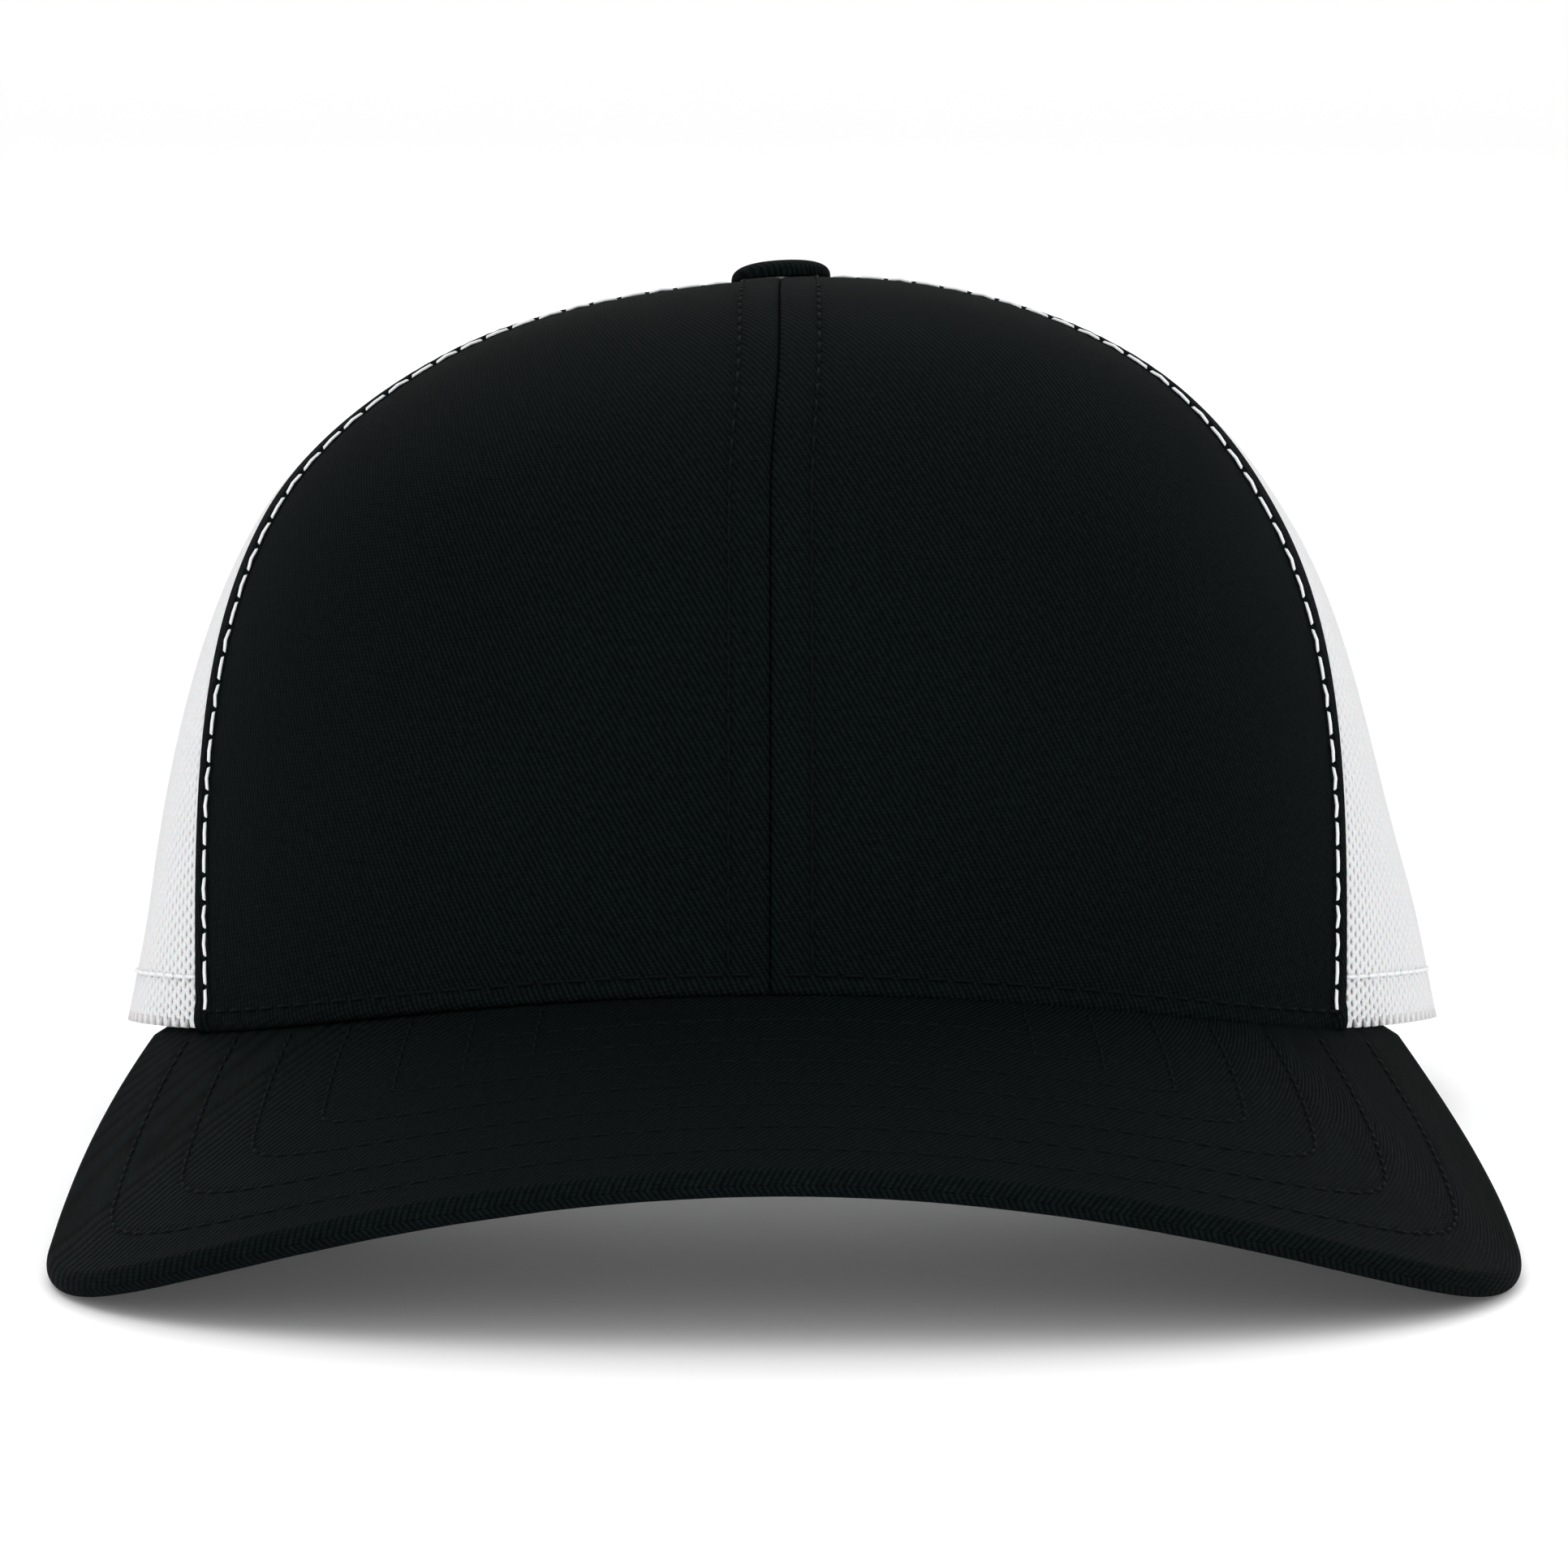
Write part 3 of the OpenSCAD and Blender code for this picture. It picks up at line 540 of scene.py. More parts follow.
def stitch_row(path, normals, sewing, lift=0.0, pitch=None, span=None, thread=None, skip=0.0):
    """A row of stitches along a path. Each is a bent bead of five rings of six points, whose middle
    stands on the cloth and whose ends sink into it: the height falls with the sixth power of the
    distance from its middle."""
    pitch = pitch or sewing.pitch
    span = span or sewing.length
    radius = (thread or sewing.thread) / 2
    along = running_length(path)
    total = along[-1] - 2 * skip
    count = max(1, int(total / pitch))
    middles = skip + (np.arange(count) + 0.5) * total / count
    places = middles[:, None] + STITCH_RINGS[None] * span / 2

    def read(values):
        return np.stack([np.interp(places, along, values[:, k]) for k in range(3)], axis=-1)

    centre = read(path)
    out = unit(read(normals))
    ahead = unit(np.gradient(centre, axis=1))
    side = unit(np.cross(ahead, out))
    height = lift + radius * (0.4 - 1.2 * STITCH_RINGS**6)
    turn = np.arange(STITCH_SIDES) / STITCH_SIDES * math.tau
    girth = radius * STITCH_GIRTH
    ring = girth[:, None, None] * (
        np.cos(turn)[:, None] * side[:, :, None] + np.sin(turn)[:, None] * out[:, :, None]
    )
    points = (centre + height[:, None] * out)[:, :, None] + ring
    rings = len(STITCH_RINGS)
    k, m = np.meshgrid(np.arange(rings - 1), np.arange(STITCH_SIDES), indexing="ij")
    a, b = k * STITCH_SIDES + m, k * STITCH_SIDES + (m + 1) % STITCH_SIDES
    tube = np.stack([a, b, b + STITCH_SIDES, a + STITCH_SIDES], axis=-1).reshape(-1, 4)
    last = (rings - 1) * STITCH_SIDES
    ends = np.array([[3, 2, 1, 0], [5, 4, 3, 0], [last, last + 1, last + 2, last + 3],
                     [last, last + 3, last + 4, last + 5]])
    one = np.concatenate([tube, ends])
    each = rings * STITCH_SIDES
    faces = (one[None] + np.arange(count)[:, None, None] * each).reshape(-1, 4)
    lengthwise = np.broadcast_to(places[:, :, None], points.shape[:3])
    girthwise = np.broadcast_to(turn * radius, points.shape[:3])
    uv = np.stack([lengthwise, girthwise], axis=-1)
    return points.reshape(-1, 3), faces, uv.reshape(-1, 2)


def joined(parts):
    """Several sets of points, faces and cloth places as one."""
    starts = np.cumsum([0] + [len(p[0]) for p in parts[:-1]])
    points = np.concatenate([p[0] for p in parts])
    faces = np.concatenate([p[1] + start for p, start in zip(parts, starts)])
    uv = np.concatenate([p[2] for p in parts])
    return points, faces, uv


def both_sides(parts):
    """A set of parts and its mirrored twins."""
    twins = [(*mirrored(p[0], p[1]), p[2] * np.array([-1, 1])) for p in parts]
    return list(parts) + twins


# ---- shader nodes ----


class Wiring:
    """Places shader nodes in one tree and joins them."""

    def __init__(self, tree):
        self.tree = tree

    def feed(self, socket, value):
        if isinstance(value, bpy.types.NodeSocket):
            self.tree.links.new(value, socket)
        elif value is not None:
            socket.default_value = value

    def node(self, kind, inputs=None, **settings):
        made = self.tree.nodes.new("ShaderNode" + kind)
        for key, value in settings.items():
            setattr(made, key, value)
        for key, value in (inputs or {}).items():
            self.feed(made.inputs[key], value)
        return made

    def sum(self, operation, *values):
        made = self.node("Math", operation=operation)
        for socket, value in zip(made.inputs, values):
            self.feed(socket, value)
        return made.outputs[0]

    def blend(self, share, first, second):
        made = self.node("Mix", data_type="RGBA")
        self.feed(made.inputs[0], share)
        self.feed(made.inputs[6], first)
        self.feed(made.inputs[7], second)
        return made.outputs[2]

    def noise(self, vector, scale, detail=2.0, roughness=0.5):
        return self.node(
            "TexNoise",
            {"Vector": vector, "Scale": scale, "Detail": detail, "Roughness": roughness},
        ).outputs[0]

    def split(self, vector):
        return self.node("SeparateXYZ", {0: vector}).outputs


def group_tree(name, inputs, outputs):
    """An empty node group with named number inputs and outputs."""
    tree = bpy.data.node_groups.new(name, "ShaderNodeTree")
    for socket_name, kind, value in inputs:
        made = tree.interface.new_socket(socket_name, in_out="INPUT", socket_type=kind)
        if value is not None:
            made.default_value = value
    for socket_name, kind in outputs:
        tree.interface.new_socket(socket_name, in_out="OUTPUT", socket_type=kind)
    wires = Wiring(tree)
    source = tree.nodes.new("NodeGroupInput")
    sink = tree.nodes.new("NodeGroupOutput")
    return tree, wires, source.outputs, sink.inputs


NUMBER = "NodeSocketFloat"
VECTOR = "NodeSocketVector"


def twill_group():
    """Ribs that run at a slant across the cloth, each broken into short floats of yarn: the height is the product
    of a sine across the rib and a slower sine along it. Shade is painted shade: the same height darkens the colour
    in the grooves between the ribs, with a random fibre tone added."""
    tree, w, given, sent = group_tree(
        "Twill weave",
        [("Cloth", VECTOR, None), ("Rib spacing", NUMBER, 0.7 * MM), ("Slant", NUMBER, 62.0)],
        [("Height", NUMBER), ("Shade", NUMBER)],
    )
    u, v = w.split(given["Cloth"])[:2]
    wobble = w.noise(given["Cloth"], 240.0, 2.0)
    turn = w.sum("RADIANS", given["Slant"])
    cosine, sine = w.sum("COSINE", turn), w.sum("SINE", turn)
    across = w.sum("ADD", w.sum("MULTIPLY", u, sine), w.sum("MULTIPLY", v, cosine))
    along = w.sum("SUBTRACT", w.sum("MULTIPLY", v, sine), w.sum("MULTIPLY", u, cosine))
    rate = w.sum("DIVIDE", math.tau, given["Rib spacing"])
    phase = w.sum("MULTIPLY_ADD", wobble, 1.1, w.sum("MULTIPLY", across, rate))
    rib = w.sum("MULTIPLY_ADD", w.sum("SINE", phase), 0.5, 0.5)
    yarn_rate = w.sum("MULTIPLY", rate, 1.35)
    yarn_phase = w.sum("MULTIPLY_ADD", phase, 0.5, w.sum("MULTIPLY", along, yarn_rate))
    floats = w.sum("MULTIPLY_ADD", w.sum("SINE", yarn_phase), 0.25, 0.75)
    height = w.sum("MULTIPLY", w.sum("POWER", rib, 0.7), floats)
    fuzz = w.noise(given["Cloth"], 5200.0, 2.0, 0.7)
    w.feed(sent["Height"], w.sum("MULTIPLY_ADD", fuzz, 0.22, height))
    # Painted shade: the colour follows the rib height, darker in the grooves, plus random fibre tone.
    w.feed(sent["Shade"], w.sum("MULTIPLY_ADD", fuzz, 0.3, w.sum("MULTIPLY", height, 0.85)))
    return tree


def yarn_group():
    """Fine plies that twist along a thread: a sine of the distance along it plus the distance
    round it."""
    tree, w, given, sent = group_tree(
        "Yarn twist",
        [("Place", VECTOR, None), ("Ply spacing", NUMBER, 0.35 * MM)],
        [("Height", NUMBER)],
    )
    u, v = w.split(given["Place"])[:2]
    rate = w.sum("DIVIDE", math.tau, given["Ply spacing"])
    slanted = w.sum("MULTIPLY_ADD", v, 1.2, u)
    ply = w.sum("SINE", w.sum("MULTIPLY", slanted, rate))
    fibre = w.noise(given["Place"], 6000.0, 2.0)
    w.feed(sent["Height"], w.sum("MULTIPLY_ADD", ply, 0.5, fibre))
    return tree


def plain_weave_group():
    """Yarns over and under each other: the larger of two sets of sine ridges, each strongest where it passes over
    the other. Gaps falls to nothing between the yarns and serves as painted shade there."""
    tree, w, given, sent = group_tree(
        "Plain weave",
        [("Cloth", VECTOR, None), ("Yarn spacing", NUMBER, 0.5 * MM)],
        [("Height", NUMBER), ("Gaps", NUMBER)],
    )
    u, v = w.split(given["Cloth"])[:2]
    rate = w.sum("DIVIDE", math.pi, given["Yarn spacing"])
    a, b = w.sum("MULTIPLY", u, rate), w.sum("MULTIPLY", v, rate)
    warp = w.sum("ABSOLUTE", w.sum("SINE", a))
    weft = w.sum("ABSOLUTE", w.sum("SINE", b))
    over = w.sum("MULTIPLY", w.sum("SINE", a), w.sum("SINE", b))
    lean = w.sum("MULTIPLY_ADD", over, 0.3, 0.5)
    height = w.sum("MAXIMUM", w.sum("MULTIPLY", warp, lean),
                   w.sum("MULTIPLY", weft, w.sum("SUBTRACT", 1.0, lean)))
    fuzz = w.noise(given["Cloth"], 4200.0, 2.0, 0.6)
    w.feed(sent["Height"], w.sum("MULTIPLY_ADD", fuzz, 0.15, height))
    # Painted shade: low in the hollows between the yarns.
    w.feed(sent["Gaps"], w.sum("MAXIMUM", warp, weft))
    return tree


def wear_group():
    """Slow blotches from 0 to 1 that darken and roughen a surface unevenly."""
    tree, w, given, sent = group_tree(
        "Uneven wear",
        [("Place", VECTOR, None), ("Scale", NUMBER, 40.0)],
        [("Mask", NUMBER)],
    )
    large = w.noise(given["Place"], given["Scale"], 4.0, 0.6)
    fine = w.noise(given["Place"], w.sum("MULTIPLY", given["Scale"], 9.0), 3.0, 0.6)
    w.feed(sent["Mask"], w.sum("MULTIPLY_ADD", fine, 0.4, w.sum("MULTIPLY", large, 0.6)))
    return tree


class Finishes:
    """The cap's materials."""

    def __init__(self, scene):
        self.tints = scene.cap_colours
        self.sewing = scene.cap_sewing
        self.twill = twill_group()
        self.yarn = yarn_group()
        self.weave = plain_weave_group()
        self.wear = wear_group()

    def start(self, name, roughness, **values):
        material = bpy.data.materials.new(name)
        material.use_nodes = True
        w = Wiring(material.node_tree)
        shader = material.node_tree.nodes["Principled BSDF"]
        shader.inputs["Roughness"].default_value = roughness
        for key, value in values.items():
            shader.inputs[key.replace("_", " ")].default_value = value
        return material, w, shader

    def place(self, w, socket="UV"):
        return w.node("TexCoord").outputs[socket]

    def use(self, w, tree, inputs):
        made = w.node("Group", node_tree=tree)
        for key, value in inputs.items():
            w.feed(made.inputs[key], value)
        return made.outputs

    def shade(self, w, shader, share, dark, light):
        w.feed(shader.inputs["Base Color"], w.blend(share, (*dark, 1), (*light, 1)))

    def bump(self, w, shader, height, distance, strength=1.0):
        made = w.node("Bump", {"Height": height, "Distance": distance, "Strength": strength})
        w.feed(shader.inputs["Normal"], made.outputs[0])

    def tinted(self, tint, share):
        return tuple(min(1.0, c * share) for c in tint)

    def black_twill(self):
        material, w, shader = self.start(
            "Black twill", 0.75, Specular_IOR_Level=0.012
        )
        cloth = self.place(w)
        weave = self.use(w, self.twill, {"Cloth": cloth, "Rib spacing": self.sewing.wale})
        wear = self.use(w, self.wear, {"Place": cloth, "Scale": 26.0})
        # Painted shade in the grooves between ribs, from the weave's Shade, times random blotches of wear and a
        # random lint tone.
        share = w.sum("MULTIPLY", weave["Shade"], w.sum("MULTIPLY_ADD", wear["Mask"], 0.7, 0.6))
        lint = w.noise(cloth, 1100.0, 3.0, 0.75)
        share = w.sum("MULTIPLY", share, w.sum("MULTIPLY_ADD", lint, 2.4, -0.25))
        self.shade(w, shader, share, self.tinted(self.tints.twill, 0.2),
                   self.tinted(self.tints.twill, 2.3))
        self.bump(w, shader, weave["Height"], 0.2 * MM, 0.9)
        return material

    def thread(self, name, tint, roughness):
        gloss = 0.4 if max(tint) > 0.1 else 0.02
        material, w, shader = self.start(name, roughness, Specular_IOR_Level=gloss)
        place = self.place(w)
        ply = self.use(w, self.yarn, {"Place": place})
        # Painted shade: the colour follows the ply height, darker in the grooves between the twisted plies.
        self.shade(w, shader, w.sum("MULTIPLY_ADD", ply["Height"], 0.5, 0.4),
                   self.tinted(tint, 0.75), self.tinted(tint, 1.12))
        self.bump(w, shader, ply["Height"], 0.05 * MM, 0.7)
        return material

    def net(self):
        material, w, shader = self.start(
            "White mesh yarn", 0.5, Specular_IOR_Level=0.4, Sheen_Weight=0.15,
            Subsurface_Weight=0.25, Subsurface_Scale=0.8 * MM,
        )
        place = self.place(w)
        fibre = w.noise(place, 3800.0, 3.0, 0.6)
        wear = self.use(w, self.wear, {"Place": place, "Scale": 60.0})
        share = w.sum("MULTIPLY_ADD", fibre, 0.5, w.sum("MULTIPLY", wear["Mask"], 0.5))
        self.shade(w, shader, share, self.tinted(self.tints.mesh, 0.9),
                   self.tinted(self.tints.mesh, 1.06))
        self.bump(w, shader, fibre, 0.08 * MM, 0.5)
        return material

    def woven(self, name, tint, spacing, roughness=0.8, depth=0.12):
        material, w, shader = self.start(name, roughness, Specular_IOR_Level=0.3, Sheen_Weight=0.2)
        cloth = self.place(w)
        weave = self.use(w, self.weave, {"Cloth": cloth, "Yarn spacing": spacing})
        wear = self.use(w, self.wear, {"Place": cloth, "Scale": 45.0})
        # Painted shade in the gaps between the yarns, mixed with random blotches of real tone.
        share = w.sum("MULTIPLY_ADD", weave["Gaps"], 0.75, w.sum("MULTIPLY", wear["Mask"], 0.25))
        self.shade(w, shader, share, self.tinted(tint, 0.62), self.tinted(tint, 1.05))
        self.bump(w, shader, weave["Height"], depth * MM, 0.9)
        return material

    def felt(self):
        material, w, shader = self.start("Soft pad", 0.9, Specular_IOR_Level=0.2, Sheen_Weight=0.3)
        place = self.place(w, "Object")
        fluff = w.noise(place, 1800.0, 4.0, 0.7)
        self.shade(w, shader, fluff, self.tinted(self.tints.buckram, 0.8),
                   self.tinted(self.tints.buckram, 1.15))
        self.bump(w, shader, fluff, 0.3 * MM, 0.6)
        return material

    def moulded(self, name, tint, roughness):
        material, w, shader = self.start(
            name, roughness, Specular_IOR_Level=0.5, Subsurface_Weight=0.3,
            Subsurface_Scale=1.5 * MM,
        )
        place = self.place(w, "Object")
        grain = w.noise(place, 2600.0, 2.0, 0.5)
        scuffs = w.noise(w.node("Mapping", {"Vector": place, "Scale": (1.0, 6.0, 9.0)}).outputs[0],
                         90.0, 5.0, 0.65)
        wear = self.use(w, self.wear, {"Place": place, "Scale": 70.0})
        w.feed(shader.inputs["Roughness"],
               w.sum("MULTIPLY_ADD", scuffs, 0.22, roughness - 0.1))
        self.shade(w, shader, wear["Mask"], self.tinted(tint, 0.93), self.tinted(tint, 1.04))
        self.bump(w, shader, w.sum("MULTIPLY_ADD", scuffs, 0.6, grain), 0.035 * MM, 0.6)
        return material

    def pressed_steel(self):
        material, w, shader = self.start("Pressed steel", 0.34, Metallic=1.0)
        place = self.place(w, "Object")
        drawn_out = w.node("Mapping", {"Vector": place, "Scale": (1.0, 1.0, 14.0)}).outputs[0]
        brushed = w.noise(drawn_out, 700.0, 4.0, 0.6)
        wear = self.use(w, self.wear, {"Place": place, "Scale": 180.0})
        w.feed(shader.inputs["Roughness"], w.sum("MULTIPLY_ADD", wear["Mask"], 0.3, 0.2))
        self.shade(w, shader, wear["Mask"], self.tinted(self.tints.steel, 0.75),
                   self.tinted(self.tints.steel, 1.2))
        self.bump(w, shader, brushed, 0.03 * MM, 0.5)
        return material

    def studio(self):
        material, w, shader = self.start("Studio floor", 0.9, Specular_IOR_Level=0.1)
        place = self.place(w, "Object")
        soft = w.noise(place, 3.0, 1.0)
        self.shade(w, shader, soft, self.tinted(self.tints.floor, 0.995), self.tints.floor)
        return material

    def all(self):
        tints, spacing = self.tints, 0.5 * MM
        return {
            "twill": self.black_twill(),
            "black thread": self.thread("Black thread", tints.black_thread, 0.62),
            "white thread": self.thread("White thread", tints.white_thread, 0.5),
            "net": self.net(),
            "tape": self.woven("White tape", tints.tape, spacing),
            "binding": self.woven("White binding", tints.mesh, 0.42 * MM, 0.7),
            "band": self.woven("White sweatband", tints.band, 0.6 * MM, 0.85, 0.2),
            "buckram": self.woven("Buckram cloth", tints.buckram, 0.9 * MM, 0.8, 0.25),
            "pad": self.felt(),
            "strap": self.moulded("White strap plastic", tints.plastic, 0.38),
            "board": self.moulded("Board plastic", tints.board, 0.5),
            "steel": self.pressed_steel(),
        }


# ---- layers of the crown ----


class Crown:
    """Where things lie on the crown's panels, and the relief of the sewn cloth."""

    def __init__(self, form):
        self.form = form
        sewing = form.sewing
        self.fold_stitch = sewing.twin_rows
        self.hem_stitch = 2.0 * MM

    def side_stitch(self, share):
        """Distance from the front-to-side seam to its row of stitches, wider half way up."""
        return (3.1 + 2.3 * ease(0.05, 0.55, share) - 4.4 * ease(0.5, 0.85, share)) * MM

    def front_relief(self, across, width, up, share):
        """How far the black panels stand off the plain crown: rolled edges at each seam, folded
        allowances between a seam and its stitches, a hollow along each row, and a little
        unevenness."""
        beyond = width - across
        side_row = self.side_stitch(share)
        shrink = np.clip(width / (24 * MM), 0.15, 1)
        relief = -0.72 * MM * rolled(across, 0.95 * MM)
        fold_row = self.fold_stitch
        relief += 0.22 * MM * (1 - ease(fold_row - 0.8 * MM, fold_row + 0.7 * MM, across))
        relief -= 0.2 * MM * dimple(across - self.fold_stitch, 0.6 * MM)
        relief += 0.55 * MM * (1 - ease(side_row - 0.9 * MM, side_row + 0.9 * MM, beyond))
        relief -= 0.95 * MM * rolled(beyond, 1.05 * MM)
        relief -= 0.24 * MM * dimple(beyond - side_row - 0.5 * MM, 0.75 * MM)
        relief -= 0.5 * MM * rolled(up, 0.7 * MM)
        relief += 0.12 * MM * (1 - ease(1.6 * MM, 2.8 * MM, up))
        relief -= 0.2 * MM * dimple(up - self.hem_stitch, 0.55 * MM)
        calm = ease(3 * MM, 16 * MM, across) * ease(3 * MM, 16 * MM, beyond)
        relief += 0.22 * MM * ripple(across, up, 11, 34 * MM) * calm
        pucker = np.sin(math.tau * up / (2.6 * MM) + 2 * np.sin(up / (9 * MM)))
        relief += 0.035 * MM * pucker * dimple(across - self.fold_stitch, 2.2 * MM)
        relief += 0.05 * MM * pucker * dimple(beyond - side_row, 2.0 * MM)
        return relief * shrink

    def front_grid(self, near, far, middle, rows):
        """Columns at set distances from both seams and evenly between them, on rows evenly up the
        middle of the panel that gather at the hem."""
        form = self.form
        fine = np.linspace(0, form.top_share, 400)
        climb = running_length(form.point(form.seam(1, fine) / 2, fine))
        edge_rows = np.array([0, 0.15, 0.35, 0.6, 0.95, 1.35, 1.7, 2.0, 2.3, 2.7]) * MM
        heights = np.concatenate([edge_rows, np.linspace(3.4 * MM, climb[-1], rows)])
        share = np.interp(heights, climb, fine)
        table_share = np.linspace(0, 1, 65)[:, None]
        table = form.seam(1, share)[None] * table_share
        lengths = running_length(form.point(table, share[None]))
        width = lengths[-1]
        squeeze = np.minimum(1, width / (near[-1] + far[-1] + 6 * MM))
        left = near[:, None] * squeeze
        right = width - far[::-1, None] * squeeze
        steps = (np.arange(middle) + 1)[:, None] / (middle + 1)
        across = np.concatenate([left, mix(left[-1], right[0], steps), right])
        angle = across_tables(across, lengths, table)
        return angle, np.broadcast_to(share, angle.shape), across, width, heights


def front_panels(maker):
    form = maker.form
    crown = Crown(form)
    near = np.array([0, 0.12, 0.3, 0.55, 0.85, 1.2, 2.2, 3.4, 4.2, 4.7, 5.0, 5.3, 5.7, 6.2, 7]) * MM
    far = np.array([0, 0.12, 0.3, 0.55, 0.85, 1.2, 1.7, 2.2, 2.6, 3.0, 3.4, 3.8, 4.2, 4.6, 5.0,
                    5.4, 5.8, 6.3, 7, 8]) * MM
    angle, share, across, width, up = crown.front_grid(near, far, 40, 150)
    relief = crown.front_relief(across, width, up, share)
    outer = form.layer(angle, share, -relief)
    inner = form.layer(angle, share, np.full(angle.shape, form.layers.cloth))
    hem = (0.75 * form.crown_gap * (1 - ease(0, 2.0 * MM, up)))[None]
    outer[..., 2] -= hem
    inner[..., 2] -= hem
    points, faces = slab(outer, inner)
    cloth = np.stack([across, np.broadcast_to(up, across.shape)], axis=-1).reshape(-1, 2)
    uv = np.concatenate([cloth, cloth])
    maker.pair("front_panel_cloth", points, faces, "twill", "black_twill", ["front_panel"], uv)
    allowance(maker)


def allowance(maker):
    """The front panels' raw edges, turned back behind the mesh along the seam."""
    form = maker.form
    share = form.level(75, np.linspace(1.2, 72, 90) * MM)
    share = np.concatenate([share, np.linspace(share[-1], form.top_share * 0.97, 24)[1:]])
    seam = form.seam(1, share)
    reach = (1.85 + 0.15 * ripple(share * 0.2, share * 0, 3, 9 * MM)) * MM
    reach = reach * np.clip((1 - share) / 0.12, 0.25, 1)
    steps = np.array([-0.15, 0.15, 0.45, 0.75, 1.0])[:, None]
    angle = form.beside(seam, share, reach * steps)
    share = np.broadcast_to(share, angle.shape)
    outer = form.layer(angle, share, np.full(angle.shape, form.layers.cloth + 0.02 * MM))
    inner = form.layer(angle, share, np.full(angle.shape, form.layers.cloth + 0.55 * MM))
    points, faces = slab(outer, inner)
    climb = running_length(outer[0])
    cloth = np.stack(np.broadcast_arrays(steps * 2.3 * MM, climb), axis=-1).reshape(-1, 2)
    maker.pair("seam_allowance", points, faces, "twill", "black_twill",
               uv=np.concatenate([cloth, cloth]))


# ---- mesh panels ----

CELL_CORNERS = np.array([[0.661, 0], [0.339, 0.5], [-0.339, 0.5], [-0.661, 0], [-0.339, -0.5],
                         [0.339, -0.5]])
FIRST_COLUMN = 0.72
HOLE_CORNERS = np.array([[0.37, 0], [0.2, 0.26], [-0.2, 0.26], [-0.37, 0], [-0.2, -0.26],
                         [0.2, -0.26]])


class NetPanel:
    """A panel of mesh between two seams. The cloth's own measure is the distance along a row from
    the first seam, and the distance up the panel's middle."""

    def __init__(self, form, left, right):
        self.form = form
        self.left, self.right = left, right
        self.share = np.linspace(0, form.top_share, 170)
        self.steps = np.linspace(0, 1, 41)
        angle = self.angle(self.steps[:, None], self.share[None])
        points = form.point(angle, self.share[None])
        lengths = running_length(points)
        self.lengths = lengths
        self.climb = running_length(points[20])

    def angle(self, step, share):
        return mix(self.form.seam(self.left, share), self.form.seam(self.right, share), step)

    def rows_at(self, up):
        """The lengths along the row at a height, from the two rows beside it."""
        place = np.interp(up, self.climb, np.arange(len(self.climb)))
        low = np.clip(place.astype(int), 0, len(self.climb) - 2)
        return mix(self.lengths[:, low], self.lengths[:, low + 1], place - low)

    def locate(self, across, up):
        """Angle and share of a place on the cloth, and its distances from both seams."""
        rows = self.rows_at(up)
        steps = np.broadcast_to(self.steps[:, None], rows.shape)
        step = across_tables(across[None], rows, steps)[0]
        share = np.interp(up, self.climb, self.share)
        return self.angle(step, share), share, across - rows[0], rows[-1] - across

    def in_arch(self, angle, share):
        """Distance from the arch's middle as a share of the way to its edge: the root of the sum
        of the squares of the shares across and up."""
        form = self.form
        rise = form.point(angle, share)[..., 2] - form.base(angle)
        half = math.degrees(math.asin(form.layers.arch_half_width / form.crown.half_width))
        return np.hypot((180 - angle) / half, rise / form.layers.arch_height)

    def out_of_arch(self, angle, share):
        """Moves places inside the arch straight out to its edge."""
        form = self.form
        inside = self.in_arch(angle, share)
        grow = 1 / np.clip(inside, 0.05, 1)
        rise = (form.point(angle, share)[..., 2] - form.base(angle)) * grow
        moved = 180 - (180 - angle) * grow
        return (
            np.where(inside < 1, moved, angle),
            np.where(inside < 1, form.level(moved, rise), share),
        )


def net_cells(panel, width, height):
    """Centres of the cells: columns a width apart and rows a height apart, with every second column
    half a row higher."""
    columns = np.arange(-1, int(panel.lengths.max() / width) + 2)
    rows = np.arange(int(panel.climb[-1] / height) + 1)
    column, row = np.meshgrid(columns, rows, indexing="ij")
    across = ((column + FIRST_COLUMN) * width).ravel()
    up = (height * (row + 0.5 + 0.5 * (column % 2))).ravel()
    return across, up


